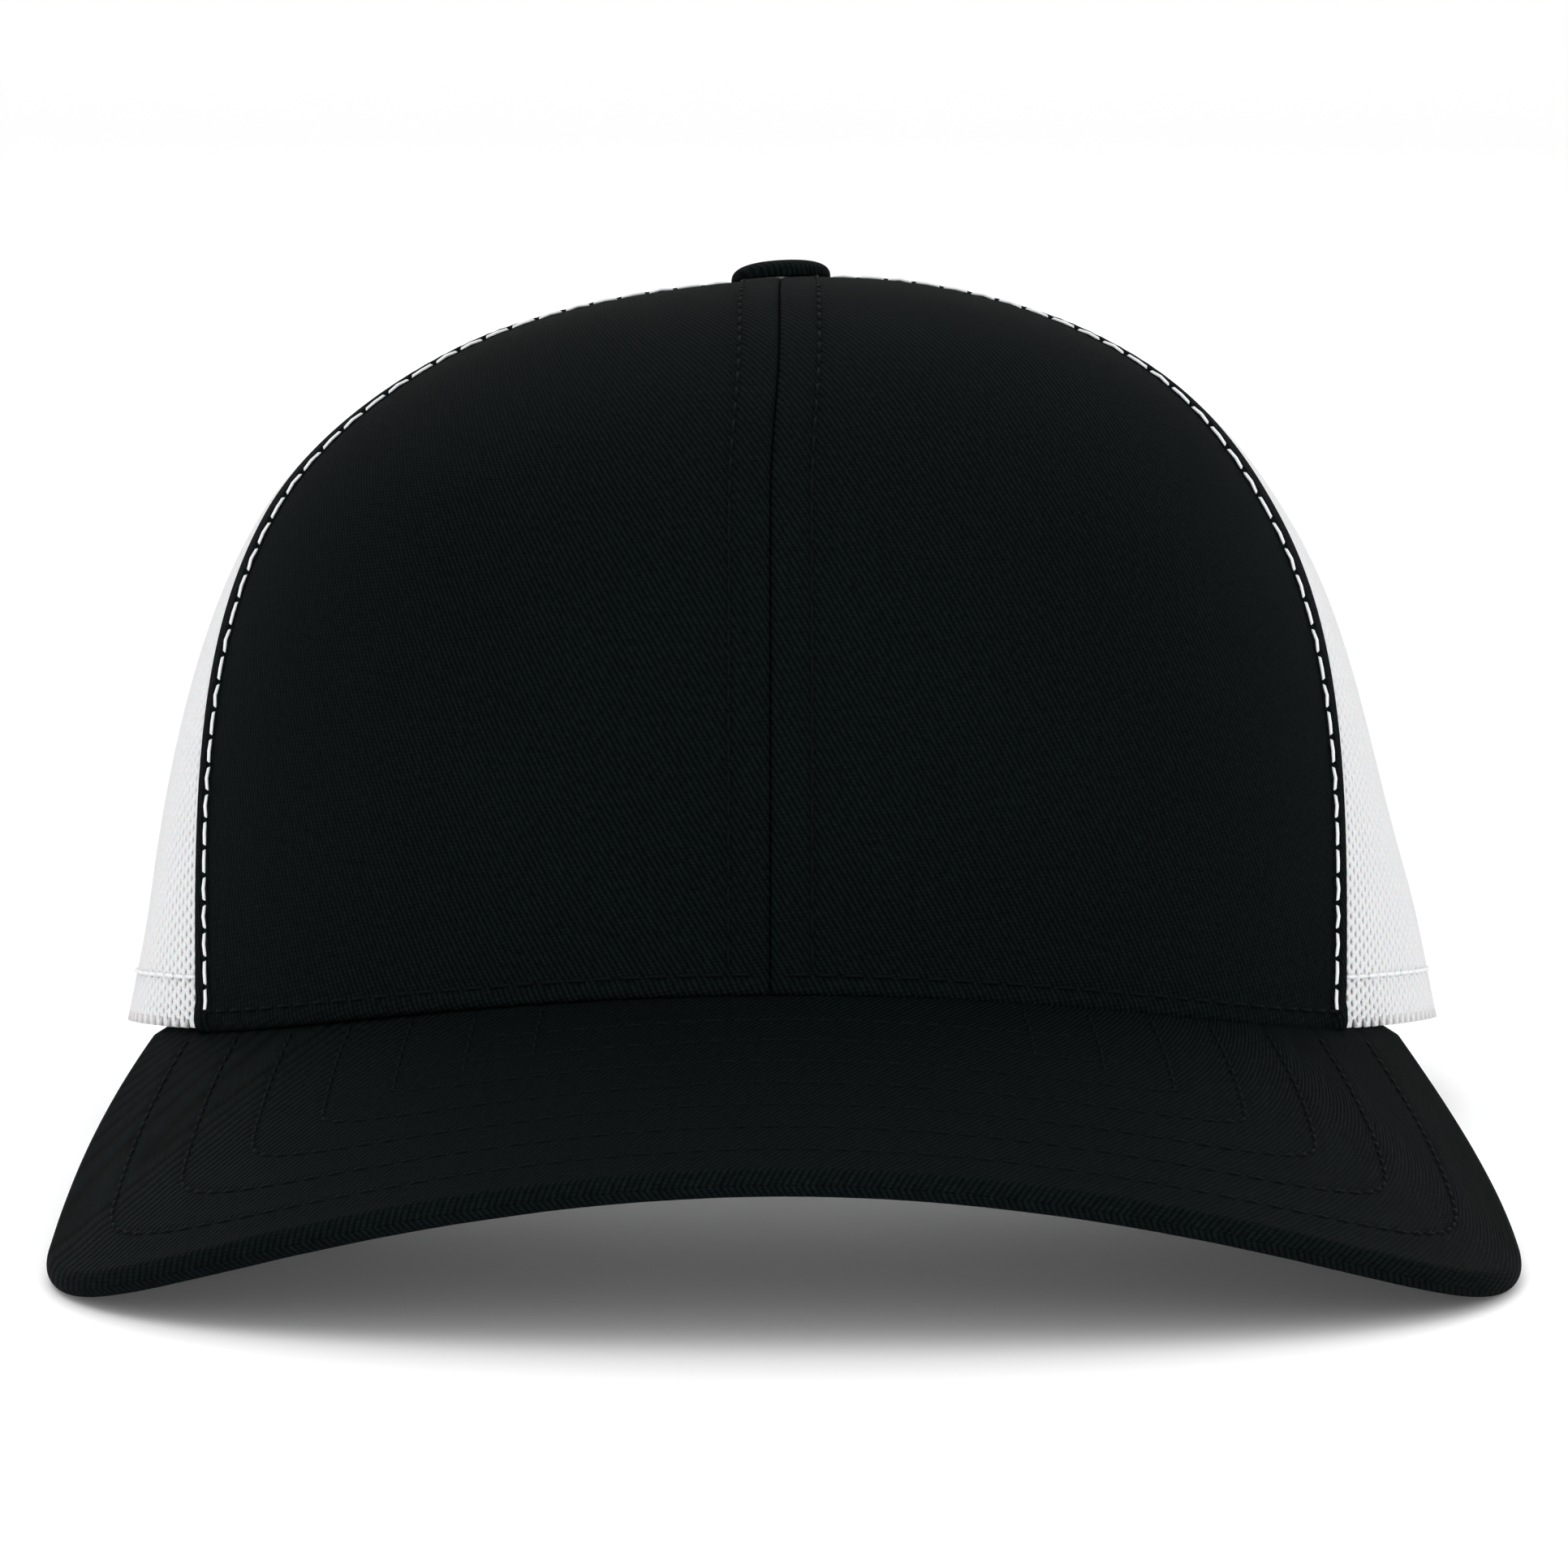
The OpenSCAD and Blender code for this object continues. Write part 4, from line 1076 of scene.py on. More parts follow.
def net_mesh(panel, has_arch):
    """Hexagonal cells with rounded holes. The strands' middles stand highest, and each hole's edge
    lies lower on both faces, so that a strand is round."""
    form = panel.form
    width, height = form.sewing.net_width, form.sewing.net_height
    across, up = net_cells(panel, width, height)
    angle, share, left, right = panel.locate(across, up)
    kept = (left > -0.5 * width) & (right > 0) & (up < panel.climb[-1] - 0.4 * height)
    open_hole = (left > 0.5 * width) & (right > 0.5 * width)
    open_hole &= up < panel.climb[-1] - 0.8 * height
    if has_arch:
        inside = panel.in_arch(angle, share)
        kept &= inside > 1.0
        open_hole &= inside > 1.03
    across, up, open_hole = across[kept], up[kept], open_hole[kept]
    size = np.array([width, height])
    centre = np.stack([across, up], axis=-1)[:, None]
    corner = centre + CELL_CORNERS * size
    scale = np.where(open_hole, 1.0, 0.06)[:, None, None]
    chance = np.random.default_rng(5)
    uneven = 1 + 0.05 * chance.standard_normal((len(across), 1, 2))
    eye = np.maximum(centre, [0.12 * width, 0])
    hole = eye + HOLE_CORNERS * size * scale * uneven
    keys = np.round(corner.reshape(-1, 2) / (0.02 * MM)).astype(np.int64)
    _, first, place = np.unique(keys, axis=0, return_index=True, return_inverse=True)
    outer = corner.reshape(-1, 2)[first]
    place = place.reshape(-1, 6)
    count, holes = len(outer), hole.reshape(-1, 2)
    flat = np.concatenate([outer, holes])
    flat[:, 0] = np.maximum(flat[:, 0], 0)
    flat[:, 1] = np.clip(flat[:, 1], 0, panel.climb[-1])
    angle, share, left, right = panel.locate(flat[:, 0], flat[:, 1])
    if has_arch:
        angle, share = panel.out_of_arch(angle, share)
    dip = 0.32 * MM * dimple(np.minimum(left, right), 1.1 * MM)
    cloth = form.layers.cloth
    low = np.concatenate([np.zeros(count), np.full(len(holes), 0.24 * MM)]) + dip
    high = np.concatenate([np.full(count, cloth), np.full(len(holes), cloth - 0.2 * MM)])
    points = np.concatenate([form.layer(angle, share, low), form.layer(angle, share, high + dip)])
    ring = count + np.arange(len(holes)).reshape(-1, 6)
    far = count + len(holes)
    after, ring_after = np.roll(place, -1, axis=1), np.roll(ring, -1, axis=1)
    front = np.stack([place, after, ring_after, ring], axis=-1).reshape(-1, 4)
    wall = np.stack([ring, ring_after, ring_after + far, ring + far], axis=-1).reshape(-1, 4)
    back = front[:, ::-1] + far
    edges = np.stack([place.ravel(), after.ravel()], axis=-1)
    code = edges[:, 0] * count + edges[:, 1]
    turned = edges[:, 1] * count + edges[:, 0]
    rim = edges[~np.isin(code, turned)]
    border = np.stack([rim[:, 1], rim[:, 0], rim[:, 0] + far, rim[:, 1] + far], axis=-1)
    uv = np.concatenate([flat, flat])
    return points, np.concatenate([front, wall, back, border]), uv


def mesh_panels(maker):
    form = maker.form
    side = net_mesh(NetPanel(form, 1, 2), False)
    maker.pair("side_mesh_net", side[0], side[1], "net", "white_mesh", ["side_mesh"], side[2])
    rear = net_mesh(NetPanel(form, 2, 3), True)
    maker.pair("rear_mesh_net", rear[0], rear[1], "net", "white_mesh", ["rear_mesh"], rear[2])


# ---- what lies behind the panels ----


def crown_strip(form, angle, share, depth, thickness, swell=0.0):
    """A layer of the crown between two depths, whose faces swell by a share of the way across."""
    outer = form.layer(angle, share, np.broadcast_to(depth - swell, angle.shape))
    inner = form.layer(angle, share, np.broadcast_to(depth + thickness + swell, angle.shape))
    points, faces = slab(outer, inner)
    climb = running_length(outer, axis=1)
    reach = running_length(outer, axis=0)
    cloth = np.stack([reach, climb], axis=-1).reshape(-1, 2)
    return points, faces, np.concatenate([cloth, cloth])


def rounded_edge(columns):
    """Swell of a strip's faces, from minus one part at its edges to none at its middle."""
    step = np.linspace(-1, 1, columns)
    return -(np.abs(step) ** 6)[:, None]


def tapes(maker):
    form = maker.form
    layers = form.layers
    top = form.near_apex(form.crown.apex_hole + 1.4 * MM)
    low = form.level(90, form.layer_rise)
    columns = 9
    step = np.linspace(-1, 1, columns)[:, None]
    swell = 0.12 * MM * rounded_edge(columns)

    def tape(number, start):
        share = np.linspace(start, top, 90)
        wide = np.linalg.norm(form.point(90, share)[..., :2], axis=-1)
        half = np.minimum(np.degrees(layers.tape_width / 2 / wide), 24)
        angle = form.seam(number, share) + step * half
        share = np.broadcast_to(share, angle.shape)
        return crown_strip(form, angle, share, form.tape_depth, layers.tape, swell)

    def named(number, start, name):
        points, faces, uv = tape(number, start)
        maker.piece(name + "_cloth", points, faces, "tape", "white_tape", [name], uv)

    named(0, low, "seam_tape_front")
    named(3, form.level(180, layers.arch_height + layers.binding_width + MM), "seam_tape_rear")
    for number, name in ((1, "seam_tape_front"), (2, "seam_tape_rear")):
        points, faces, uv = tape(number, low)
        for side in ("left", "right"):
            replaced = f"{name}_{side}"
            maker.piece(replaced + "_cloth", points, faces, "tape", "white_tape", [replaced], uv)
            points, faces = mirrored(points, faces)


def buckrams(maker):
    form = maker.form
    layers = form.layers
    top = form.near_apex(form.crown.apex_hole + 3 * MM)
    share = np.linspace(form.level(90, form.layer_rise), top, 70)
    wide = np.linalg.norm(form.point(90, share)[..., :2], axis=-1)
    inset = np.minimum(np.degrees(layers.buckram_inset / wide), 12)
    step = np.linspace(0, 1, 40)[:, None]
    angle = mix(inset, form.seam(1, share) - inset, step)
    share = np.broadcast_to(share, angle.shape)
    points, faces, uv = crown_strip(form, angle, share, form.buckram_depth, layers.buckram)
    maker.pair("buckram_cloth", points, faces, "buckram", "buckram", ["buckram"], uv)


class StrapPlace:
    """Where the snap strap and its tabs lie, as far as the cloth needs to know."""

    tab_length = 20 * MM
    arch_clearance = 4.5 * MM
    strap_top = 22 * MM
    cloth_and_fold = 1.6 * MM  # the panel and the folded binding between it and the strap
    strap_thickness = 1.6 * MM
    gaps = (0.2 + 0.15 + 0.65) * MM  # outside the straps, between them and inside them

    def __init__(self, form):
        crown = form.crown
        hinge_x = abs(frame["joints"][0]["pos_m"][0])
        self.tab_angle = self.from_front(hinge_x + self.tab_length, crown)
        self.band_end = self.from_front(form.layers.arch_half_width + self.arch_clearance, crown)
        wall = form.point(np.array(180.0), form.level(np.array(180.0), self.strap_top))
        wall_lean = crown.rear_reach - float(wall[..., 1])
        self.inside = wall_lean + self.cloth_and_fold + 2 * self.strap_thickness + self.gaps

    @staticmethod
    def from_front(x, crown):
        """The angle from the front at which the opening's rear is x from the middle."""
        return 180 - math.degrees(math.asin(x / crown.half_width))

    def band_depth(self, form, angle):
        """Depth of the band, which grows where it passes inside the tabs."""
        tab = ease(self.tab_angle - 22, self.tab_angle - 4, np.abs(angle))
        return mix(form.band_depth, self.inside, tab)


def sweatband(maker):
    """A band that steps in behind the strap's tabs, with a rolled top edge and a seam near its
    lower edge."""
    form = maker.form
    layers = form.layers
    strap = StrapPlace(form)
    angle = np.linspace(-strap.band_end, strap.band_end, 281)[:, None]
    step = np.concatenate([[0, 0.02, 0.05, 0.08, 0.1, 0.12, 0.16], np.linspace(0.2, 0.9, 15),
                           [0.93, 0.96, 0.98, 1.0]])[None]
    rise = layers.band_rise + layers.band_height * step
    angle, rise = np.broadcast_arrays(angle, rise)
    share = form.level(angle, rise)
    depth = strap.band_depth(form, angle)
    height = step * layers.band_height
    edge = 0.3 * MM * (rolled(height, MM) + rolled((1 - step) * layers.band_height, MM))
    seam = 0.12 * MM * dimple(height - 3 * MM, 0.6 * MM)
    wave = 0.14 * MM * ripple(angle * 1.5 * MM, rise, 23, 16 * MM)
    outer = form.layer(angle, share, depth + edge)
    inner = form.layer(angle, share, depth + layers.band - edge - seam + wave * ease(0, 0.3, step))
    points, faces = slab(outer, inner)
    cloth = np.stack([running_length(outer, axis=0), running_length(outer, axis=1)], axis=-1)
    cloth = cloth.reshape(-1, 2)
    made = maker.piece("sweatband_cloth", points, faces, "band", "sweatband_cloth",
                       ["sweatband"], np.concatenate([cloth, cloth]))
    column = 0.1 * layers.band_height + layers.band_rise
    line = np.linspace(-strap.band_end + 1, strap.band_end - 1, 600)
    line_share = form.level(line, column)
    line_depth = strap.band_depth(form, line)
    path = form.layer(line, line_share, line_depth + layers.band - 0.12 * MM)
    row = stitch_row(path, -form.normal(line, line_share), form.sewing, thread=0.5 * MM)
    maker.piece("sweatband_stitches", *row[:2], "white thread", "sweatband_cloth", uv=row[2])
    return made


def sweatband_pad(maker):
    form = maker.form
    layers = form.layers
    angle = np.linspace(-layers.pad_angle, layers.pad_angle, 120)[:, None]
    step = np.linspace(0, 1, 24)[None]
    below = (layers.band_height - layers.pad_height) / 2
    rise = layers.band_rise + below + layers.pad_height * step
    angle, rise = np.broadcast_arrays(angle, rise)
    share = form.level(angle, rise)
    ends = np.abs(np.linspace(-1, 1, 120))[:, None]
    thin = 0.35 * MM * (np.abs(2 * step - 1) ** 8 + ends**16)
    outer = form.layer(angle, share, form.pad_depth + thin)
    inner = form.layer(angle, share, form.pad_depth + layers.pad - thin)
    points, faces = slab(outer, inner)
    made = maker.piece("sweatband_pad_foam", points, faces, "pad", "pad_foam", ["sweatband_pad"])
    return made


def arch_binding(maker):
    """A tape folded over the arch's edge: two flat legs and a half circle between them, given
    their thickness square to that line, and carried round the arch."""
    form = maker.form
    layers = form.layers
    half = layers.binding / 2
    outer_leg = -layers.binding_gap - half
    inner_leg = layers.cloth + layers.binding_gap + half
    radius = (inner_leg - outer_leg) / 2
    middle = (inner_leg + outer_leg) / 2
    fold = radius + half - layers.binding_gap - layers.binding
    turn = np.linspace(0, np.pi, 11)
    leg = np.array([1.0, 0.97, 0.86, 0.78, 0.7, 0.35])
    centre = np.concatenate([
        np.stack([mix(fold, layers.binding_width, leg), np.full(6, outer_leg)], axis=-1),
        np.stack([fold - radius * np.sin(turn), middle - radius * np.cos(turn)], axis=-1),
        np.stack([mix(fold, layers.binding_width, leg[::-1]), np.full(6, inner_leg)], axis=-1),
    ])
    along = unit(np.gradient(centre, axis=0))
    square = np.stack([along[:, 1], -along[:, 0]], axis=-1)
    tip = np.ones(len(centre))
    tip[[0, -1]] = 0.45
    sewn = np.ones(len(centre))
    sewn[[2, 3]] = 0.8
    profile = np.concatenate([
        centre + square * (half * tip * sewn)[:, None],
        (centre - square * (half * tip)[:, None])[::-1],
    ])
    turns = np.linspace(1.5, 178.5, 200)
    outside, depth = profile[:, 0], profile[:, 1]
    angle, share = form.arch(turns[:, None], outside[None])
    wave = 0.06 * MM * ripple(turns[:, None] * 0.9 * MM, outside[None], 31, 7 * MM)
    points = form.layer(angle, share, depth[None] + wave * (depth[None] < 0))
    count = len(profile)
    i, k = np.meshgrid(np.arange(len(turns) - 1), np.arange(count), indexing="ij")
    a, b = i * count + k, i * count + (k + 1) % count
    skin = np.stack([a, b, b + count, a + count], axis=-1).reshape(-1, 4)
    strip = np.arange(count // 2 - 1)
    start = np.stack([strip, count - 1 - strip, count - 2 - strip, strip + 1], axis=-1)
    end = start[:, ::-1] + (len(turns) - 1) * count
    round_it = np.concatenate([[0], np.cumsum(np.linalg.norm(np.diff(profile, axis=0), axis=-1))])
    lengthwise = running_length(points[:, 8])
    uv = np.stack(np.broadcast_arrays(lengthwise[:, None], round_it[None]), axis=-1).reshape(-1, 2)
    faces = np.concatenate([skin, start, end])
    maker.piece("rear_arch_binding_cloth", points.reshape(-1, 3), faces, "binding",
                "white_binding", ["rear_arch_binding"], uv)
    rows = []
    for outside, depth, way in ((4.7 * MM, outer_leg - half, 1), (4.7 * MM, inner_leg + half, -1)):
        place = form.arch(np.linspace(3, 177, 400), np.full(400, outside))
        path = form.layer(*place, np.full(400, depth + 0.06 * MM * way))
        rows.append(stitch_row(path, way * form.normal(*place), form.sewing, thread=0.5 * MM,
                               pitch=3.2 * MM, span=2.5 * MM))
    points, faces, uv = joined(rows)
    maker.piece("binding_stitches", points, faces, "white thread", "white_binding", uv=uv)


# ---- visor ----


def visor_faces(maker):
    """The covers between the crown and the rim. Rows run from the crown to the rim's inside edge,
    then round a quarter of an ellipse to the middle of the thickness, where the covers meet."""
    form = maker.form
    visor = form.visor
    columns, rows, bend = 221, 112, 9
    q = np.linspace(1, -1, columns)[:, None]
    turn = np.linspace(0, np.pi / 2, bend)[1:]
    step = np.concatenate([np.linspace(0, 1, rows), np.ones(bend - 1)])[None]
    middle = form.visor_thickness / 2
    q, step = np.broadcast_arrays(q, step)

    def face(inset, depth, lift, under):
        inset = np.broadcast_to(inset, q.shape)
        place = mix(form.tucked_edge(q), form.inset_outline(q, inset), step[..., None])
        depth = np.broadcast_to(depth, q.shape) - lift
        if under:
            depth = form.visor_thickness - depth
        return form.visor_point(place, depth), place

    flat = np.zeros(rows)
    outer_inset = np.concatenate([flat + visor.board_inset, visor.board_inset * (1 - np.sin(turn))])
    outer_depth = np.concatenate([flat, middle * (1 - np.cos(turn))])
    seam = 0.8 * MM
    inner_inset = np.concatenate([
        flat + visor.board_inset, seam + (visor.board_inset - seam) * (1 - np.sin(turn))])
    inner_depth = np.concatenate([
        flat + visor.cover, visor.cover + (middle - visor.cover) * (1 - np.cos(turn))])
    _, place = face(outer_inset, outer_depth, 0.0, False)
    distance = rim_distance(form, place)
    for name, under in (("visor_top_cover", False), ("visor_under_cover", True)):
        lift = visor_relief(form, place, distance, under)
        lift = lift * (step < 1) + lift * (step >= 1) * (1 - ease(0, middle, outer_depth))
        outer, _ = face(outer_inset, outer_depth, lift, under)
        inner, _ = face(inner_inset, inner_depth, 0.0, under)
        points, faces = slab(inner, outer) if under else slab(outer, inner)
        around_rim = running_length(outer, axis=1)
        cloth = np.stack([place[..., 0], around_rim - around_rim[:, -1:]], axis=-1)
        cloth = cloth.reshape(-1, 2)
        maker.piece(name + "_cloth", points, faces, "twill", "black_twill", [name],
                    np.concatenate([cloth, cloth]))
    visor_stitches(maker)


def rim_distance(form, place):
    """Distance from each place to the nearest of many points of the rim."""
    rim = form.outline(np.linspace(-1, 1, 500))
    flat = place.reshape(-1, 2)
    nearest = np.full(len(flat), 1.0)
    for chunk in np.array_split(rim, 20):
        gap = np.linalg.norm(flat[:, None] - chunk[None], axis=-1)
        nearest = np.minimum(nearest, gap.min(axis=1))
    return nearest.reshape(place.shape[:2])


def visor_relief(form, place, distance, under):
    """Hollows along the rows of stitches, soft pillows between them and shallow drag lines."""
    spacing = form.visor.row_spacing
    row = np.round(distance / spacing)
    off = distance - row * spacing
    sewn = (row >= 1) & (row <= 7)
    lift = -0.17 * MM * dimple(off, 0.75 * MM) * sewn
    x, y = place[..., 0], place[..., 1]
    seed = 71 if under else 47
    drag = ripple(x + 0.25 * y, y * 0.35, seed, 11 * MM) * ripple(x, y, seed + 1, 30 * MM)
    lift += 0.13 * MM * drag
    lift += 0.05 * MM * np.cos(math.tau * off / spacing)
    return lift


def visor_stitches(maker):
    """Rows that follow the rim at even distances and stop at the crown."""
    form = maker.form
    visor = form.visor
    rows_top, rows_under = [], []
    q = np.linspace(-1, 1, 900)
    outline = form.outline(q)
    for number in range(1, 8):
        place = form.inset_outline(q, np.full(q.shape, number * visor.row_spacing))
        ahead = np.gradient(place, axis=0) * np.gradient(outline, axis=0)
        clear = np.hypot(place[:, 0] / form.crown.half_width, place[:, 1] / form.crown.front_reach)
        kept = (ahead.sum(axis=1) > 0) & (clear > 1.015) & (place[:, 1] < form.corner_y)
        place = place[kept]
        gaps = np.linalg.norm(np.diff(place, axis=0), axis=-1)
        for run in np.split(place, np.nonzero(gaps > 4 * MM)[0] + 1):
            if len(run) < 12:
                continue
            normal = form.visor_normal(run[:, 0])
            top = form.visor_point(run, np.full(len(run), 0.13 * MM))
            under = form.visor_point(run, np.full(len(run), form.visor_thickness - 0.13 * MM))
            options = {"pitch": 3.3 * MM, "span": 2.5 * MM, "thread": 0.52 * MM}
            rows_top.append(stitch_row(top, normal, form.sewing, **options))
            rows_under.append(stitch_row(under, -normal, form.sewing, **options))
    for name, rows in (("visor_top_stitches", rows_top), ("visor_under_stitches", rows_under)):
        points, faces, uv = joined(rows)
        maker.piece(name, points, faces, "black thread", "black_twill", uv=uv)


# ---- button ----


def button_cloth(maker):
    """A flattened dome: the height goes with the cosine and the radius with the sine of a turn,
    each to a power under 1, with shallow folds round the foot."""
    form = maker.form
    button = form.button
    around = np.linspace(0, 360, 97)[:-1]
    turn = np.linspace(0, np.pi / 2, 26)
    seat = form.crown.height + form.layers.gap

    def dome(radius, height, folds):
        out = radius * np.sin(turn) ** 0.78
        rise = height * np.cos(turn) ** 0.72
        waves = np.cos(np.radians(around * 24))[:, None]
        fold = 1 + folds * waves * (turn / (np.pi / 2))[None] ** 5
        angle = np.radians(around)[:, None]
        x = out[None] * fold * np.sin(angle)
        y = -out[None] * fold * np.cos(angle)
        z = np.broadcast_to(seat + rise[None], x.shape)
        return np.stack([x, y, z], axis=-1)[:, ::-1]

    outer = dome(button.radius - 0.05 * MM, button.height, 0.006)
    inner = dome(button.radius - button.cloth, button.height - button.cloth, 0.0)
    outer, inner = (np.concatenate([g, g[:1]]) for g in (outer, inner))
    columns, rows = outer.shape[:2]
    count = columns * rows
    face = grid_quads(columns, rows)
    foot = np.arange(columns) * rows
    wall = np.stack([foot[1:], foot[:-1], foot[:-1] + count, foot[1:] + count], axis=-1)
    points = np.concatenate([outer.reshape(-1, 3), inner.reshape(-1, 3)])
    faces = np.concatenate([face, face[:, ::-1] + count, wall])
    made = maker.piece("button_cloth", points, faces, "twill", "black_twill", ["button_cover"],
                       points[:, :2])
    return close_poles(made)


# ---- rows of stitches on the crown ----


def seam_path(form, number, distance, low, high, depth, side=1):
    """A line at a distance from a seam between two shares, at a depth below the surface."""
    share = np.linspace(low, high, 500)
    reach = distance(share) if callable(distance) else np.full(share.shape, distance)
    angle = form.beside(form.seam(number, share), share, side * reach)
    return form.layer(angle, share, np.full(share.shape, depth)), form.normal(angle, share)


def relief_path(form, share, angle):
    """A line on the sewn front panels, lifted with their relief."""
    crown = Crown(form)
    steps = np.linspace(0, 1, 65)[:, None]
    table = form.seam(1, share)[None] * steps
    lengths = running_length(form.point(table, share[None]))
    across = across_tables(angle[None], table, lengths)[0]
    fine = np.linspace(0, form.top_share, 400)
    climb = running_length(form.point(form.seam(1, fine) / 2, fine))
    relief = crown.front_relief(across, lengths[-1], np.interp(share, fine, climb), share)
    return form.layer(angle, share, -relief), form.normal(angle, share)


def crown_stitches(maker):
    form = maker.form
    sewing = form.sewing
    crown = Crown(form)
    top = form.near_apex(form.button.radius + 0.5 * MM)
    low = form.level(60, 1.6 * MM)

    share = np.linspace(form.level(0, 2.6 * MM), top, 500)
    angle = form.beside(form.seam(0, share), share, crown.fold_stitch)
    black = [stitch_row(*relief_path(form, share, angle), sewing, pitch=3.6 * MM, span=2.8 * MM,
                        thread=0.55 * MM)]
    angle = np.linspace(1.2, form.crown.front_seam - 1.0, 500)
    share = form.level(angle, crown.hem_stitch)
    black.append(stitch_row(*relief_path(form, share, angle), sewing, pitch=3.4 * MM,
                            span=2.6 * MM, thread=0.55 * MM))
    points, faces, uv = joined(both_sides(black))
    maker.piece("front_stitches", points, faces, "black thread", "black_twill", uv=uv)

    share = np.linspace(low, top, 500)
    angle = form.beside(form.seam(1, share), share, -crown.side_stitch(share))
    white = [stitch_row(*relief_path(form, share, angle), sewing, lift=0.08 * MM,
                        thread=0.46 * MM, pitch=3.95 * MM, span=3.45 * MM)]
    for side in (-1, 1):
        white.append(stitch_row(*seam_path(form, 2, 2.4 * MM, low, top, 0.02 * MM, side), sewing))
    arch_top = form.level(180, form.layers.arch_height + form.layers.binding_width)
    white.append(stitch_row(*seam_path(form, 3, 2.4 * MM, arch_top, top, 0.02 * MM, -1), sewing))
    angle = np.linspace(form.crown.front_seam + 1.5, 180 - 30.5, 900)
    share = form.level(angle, 6.5 * MM)
    path = form.layer(angle, share, np.full(angle.shape, 0.02 * MM))
    white.append(stitch_row(path, form.normal(angle, share), sewing))
    points, faces, uv = joined(both_sides(white))
    maker.piece("mesh_stitches", points, faces, "white thread", "white_mesh", uv=uv)

    inside = []
    for number, start in ((0, low), (1, low), (2, low), (3, arch_top)):
        for side in (-1, 1):
            share = np.linspace(start, form.near_apex(9 * MM), 400)
            wide = np.linalg.norm(form.point(90, share)[..., :2], axis=-1)
            half = np.minimum(np.degrees(4.6 * MM / wide), 19)
            angle = form.seam(number, share) + side * half
            depth = form.tape_depth + form.layers.tape - 0.02 * MM
            path = form.layer(angle, share, np.full(share.shape, depth))
            inside.append(stitch_row(path, -form.normal(angle, share), sewing, thread=0.45 * MM))
    sides = [row for row, number in zip(inside, (0, 0, 1, 1, 2, 2, 3, 3)) if number in (1, 2)]
    middle = [row for row, number in zip(inside, (0, 0, 1, 1, 2, 2, 3, 3)) if number in (0, 3)]
    points, faces, uv = joined(both_sides(sides) + middle)
    maker.piece("tape_stitches", points, faces, "white thread", "white_tape", uv=uv)


# ---- operators ----


KEPT = {}


def workshop(context):
    """The form and the finishes, which the operators share."""
    if "maker" not in KEPT:
        KEPT["maker"] = Maker(CapForm(context.scene), Finishes(context.scene).all())
    return KEPT["maker"]


class CAP_OT_front(bpy.types.Operator):
    """Make the two black twill front panels and their turned-in edges"""

    bl_idname = "cap.front_panels"
    bl_label = "Front panels"

    def execute(self, context):
        front_panels(workshop(context))
        return {"FINISHED"}


class CAP_OT_mesh(bpy.types.Operator):
    """Make the four mesh panels, cell by cell"""

    bl_idname = "cap.mesh_panels"
    bl_label = "Mesh panels"

    def execute(self, context):
        mesh_panels(workshop(context))
        return {"FINISHED"}


class CAP_OT_lining(bpy.types.Operator):
    """Make the buckram, seam tapes, sweatband and pad inside the crown"""

    bl_idname = "cap.lining"
    bl_label = "Lining"

    def execute(self, context):
        maker = workshop(context)
        buckrams(maker)
        tapes(maker)
        sweatband(maker)
        sweatband_pad(maker)
        return {"FINISHED"}


class CAP_OT_binding(bpy.types.Operator):
    """Make the folded binding round the rear arch"""

    bl_idname = "cap.arch_binding"
    bl_label = "Arch binding"

    def execute(self, context):
        arch_binding(workshop(context))
        return {"FINISHED"}


class CAP_OT_visor(bpy.types.Operator):
    """Make the visor's covers and their rows of stitches"""

    bl_idname = "cap.visor"
    bl_label = "Visor"

    def execute(self, context):
        visor_faces(workshop(context))
        return {"FINISHED"}


class CAP_OT_button(bpy.types.Operator):
    """Make the covered button"""

    bl_idname = "cap.button"
    bl_label = "Button"

    def execute(self, context):
        button_cloth(workshop(context))
        return {"FINISHED"}


class CAP_OT_stitches(bpy.types.Operator):
    """Sew the crown's rows of stitches"""

    bl_idname = "cap.stitches"
    bl_label = "Stitches"

    def execute(self, context):
        crown_stitches(workshop(context))
        return {"FINISHED"}


class CAP_OT_fittings(bpy.types.Operator):
    """Finish the snap strap, the visor's board and the button's metal"""

    bl_idname = "cap.fittings"
    bl_label = "Fittings"

    def execute(self, context):
        materials = workshop(context).materials
        finishes = {
            "strap": ("hole_strap", "peg_strap", "hole_strap_tab", "peg_strap_tab"),
            "board": ("visor_board",),
            "steel": ("button_shell", "button_tack"),
        }
        for finish, names in finishes.items():
            for name in names:
                node = frame["nodes"][name]
                if not node.material_slots:
                    raise RuntimeError(f"{name} has no material slot")
                for socket in node.material_slots:
                    socket.material = materials[finish]
        return {"FINISHED"}


class CAP_OT_stage(bpy.types.Operator):
    """Set the floor, lights and camera"""

    bl_idname = "cap.stage"
    bl_label = "Stage"

    def execute(self, context):
        scene = context.scene
        scene.view_settings.view_transform = "Standard"
        form = workshop(context).form
        stage_floor(scene, Finishes(scene).studio())
        stage_lights(scene)
        stage_camera(scene, form)
        return {"FINISHED"}


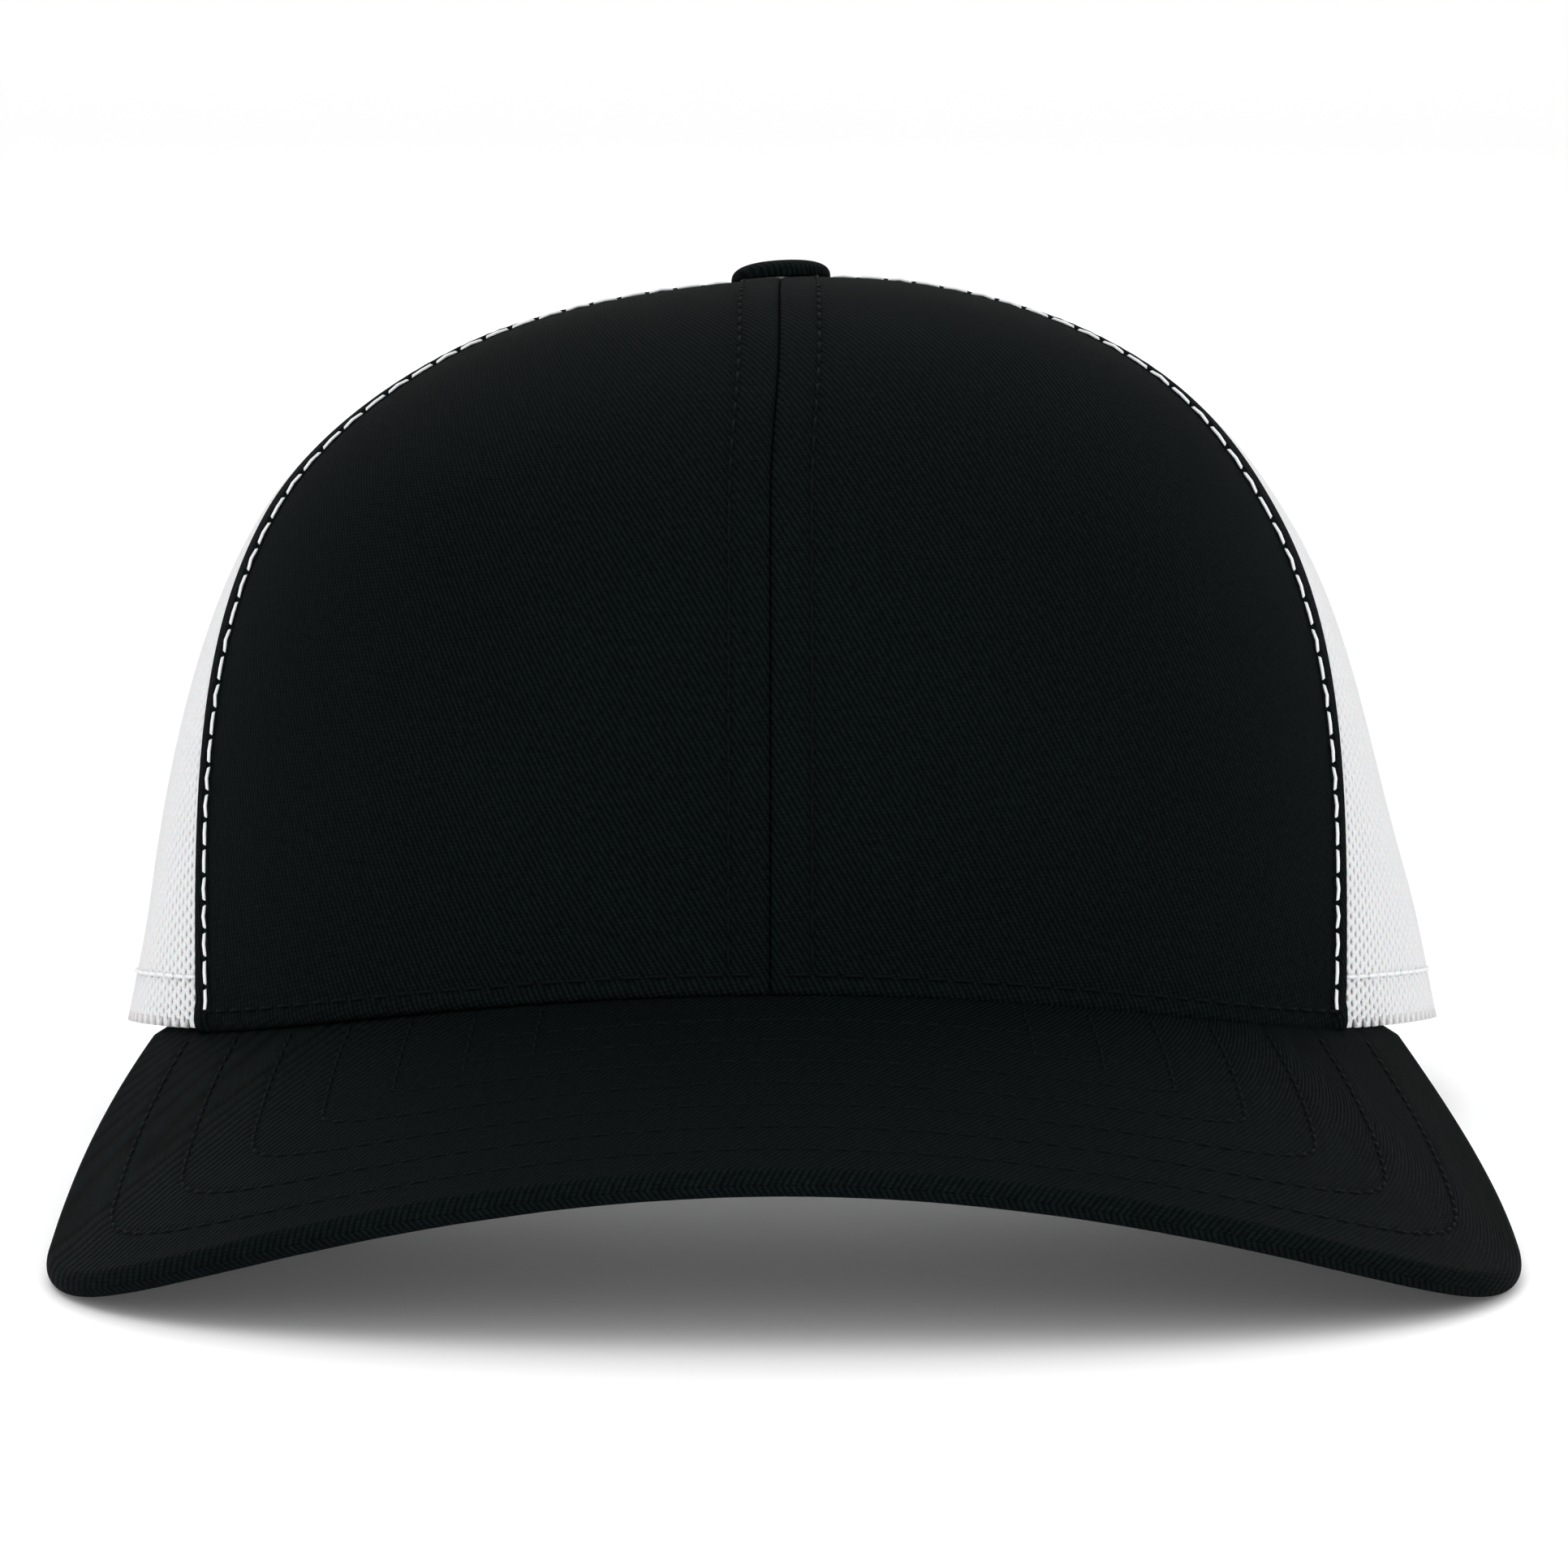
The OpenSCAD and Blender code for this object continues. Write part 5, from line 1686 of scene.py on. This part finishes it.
def stage_floor(scene, material):
    """A floor that curves up into a backdrop, as one profile carried sideways."""
    turn = np.linspace(0, np.pi / 2, 16)
    radius, back, front, top, half = 1.2, 2.6, -3.0, 4.5, 5.0
    y = np.concatenate([[front], back + radius * np.sin(turn), [back + radius]])
    z = np.concatenate([[0], radius * (1 - np.cos(turn)), [top]])
    across = np.linspace(-half, half, 3)
    points = np.stack(np.broadcast_arrays(across[:, None], y[None], z[None]), axis=-1)
    mesh = bpy.data.meshes.new("studio_floor")
    faces = grid_quads(*points.shape[:2])
    mesh.from_pydata(points.reshape(-1, 3).tolist(), [], faces.tolist())
    mesh.polygons.foreach_set("use_smooth", np.ones(len(faces), dtype=bool))
    mesh.materials.append(material)
    floor = bpy.data.objects.new("studio_floor", mesh)
    scene.collection.objects.link(floor)


def area_light(scene, name, place, target, size, power):
    data = bpy.data.lights.new(name, "AREA")
    data.shape = "RECTANGLE"
    data.size, data.size_y = size
    data.energy = power
    light = bpy.data.objects.new(name, data)
    scene.collection.objects.link(light)
    light.matrix_world = looking(np.array(place), np.array(target), np.array([0, 0, 1.0]))
    return light


def looking(place, target, up):
    """A turn whose -Z points from a place to a target, with Y nearest to up."""
    away = unit(place - target)
    right = unit(np.cross(up, away))
    upright = np.cross(away, right)
    return Matrix.Translation(place) @ Matrix(np.stack([right, upright, away], axis=1)).to_4x4()


def stage_lights(scene):
    world = bpy.data.worlds.new("Studio")
    world.use_nodes = True
    background = world.node_tree.nodes["Background"]
    background.inputs[0].default_value = (1.0, 1.0, 1.0, 1.0)
    background.inputs[1].default_value = 1.02
    scene.world = world
    area_light(scene, "key_light", (-0.5, -0.7, 1.5), (0, 0.0, 0.05), (1.2, 1.0), 7)
    area_light(scene, "fill_light", (1.0, -0.9, 0.7), (0, 0.0, 0.05), (1.0, 1.0), 3)
    area_light(scene, "back_light", (0.1, 1.2, 1.3), (0, 0.1, 0.05), (1.4, 0.8), 5)
    area_light(scene, "low_light", (0.0, -1.6, 0.12), (0, 0.0, -0.02), (1.6, 0.2), 13)


def stage_camera(scene, form):
    """The camera looks along the cap's own front-to-back line, a little above the opening."""
    data = bpy.data.cameras.new("camera")
    data.sensor_width = 36.0
    data.lens = 167.7
    data.clip_start = 0.05
    data.clip_end = 20.0
    camera = bpy.data.objects.new("camera", data)
    scene.collection.objects.link(camera)
    place, target, above = form.placed(
        np.array([[0, -1.0, 0.0316], [0, 0, 0.0316], [0, -1.0, 1.0]])
    )
    camera.matrix_world = looking(place, target, above - place)
    scene.camera = camera


class CAP_PT_sidebar(bpy.types.Panel):
    """Buttons and sizes of the cap"""

    bl_label = "Cap"
    bl_idname = "CAP_PT_sidebar"
    bl_space_type = "VIEW_3D"
    bl_region_type = "UI"
    bl_category = "Cap"

    def draw(self, context):
        for operator in OPERATORS:
            self.layout.operator(operator.bl_idname)
        for name in GROUPS:
            box = self.layout.box()
            group = getattr(context.scene, name)
            for key in group.bl_rna.properties.keys():
                if key not in ("rna_type", "name"):
                    box.prop(group, key)


GROUPS = {
    "cap_crown": CapCrownSizes,
    "cap_layers": CapLayerSizes,
    "cap_visor": CapVisorSizes,
    "cap_button": CapButtonSizes,
    "cap_sewing": CapSewingSizes,
    "cap_colours": CapColours,
}
OPERATORS = (
    CAP_OT_front,
    CAP_OT_mesh,
    CAP_OT_lining,
    CAP_OT_binding,
    CAP_OT_visor,
    CAP_OT_button,
    CAP_OT_stitches,
    CAP_OT_fittings,
    CAP_OT_stage,
)


def register():
    for group in GROUPS.values():
        bpy.utils.register_class(group)
    for name, group in GROUPS.items():
        setattr(bpy.types.Scene, name, bpy.props.PointerProperty(type=group))
    for operator in OPERATORS:
        bpy.utils.register_class(operator)
    bpy.utils.register_class(CAP_PT_sidebar)


def unregister():
    bpy.utils.unregister_class(CAP_PT_sidebar)
    for operator in reversed(OPERATORS):
        bpy.utils.unregister_class(operator)
    for name in GROUPS:
        delattr(bpy.types.Scene, name)
    for group in reversed(GROUPS.values()):
        bpy.utils.unregister_class(group)


def main():
    register()
    bpy.ops.cap.front_panels()
    bpy.ops.cap.mesh_panels()
    bpy.ops.cap.lining()
    bpy.ops.cap.arch_binding()
    bpy.ops.cap.visor()
    bpy.ops.cap.button()
    bpy.ops.cap.stitches()
    bpy.ops.cap.fittings()
    bpy.ops.cap.stage()


if __name__ == "__main__":
    main()
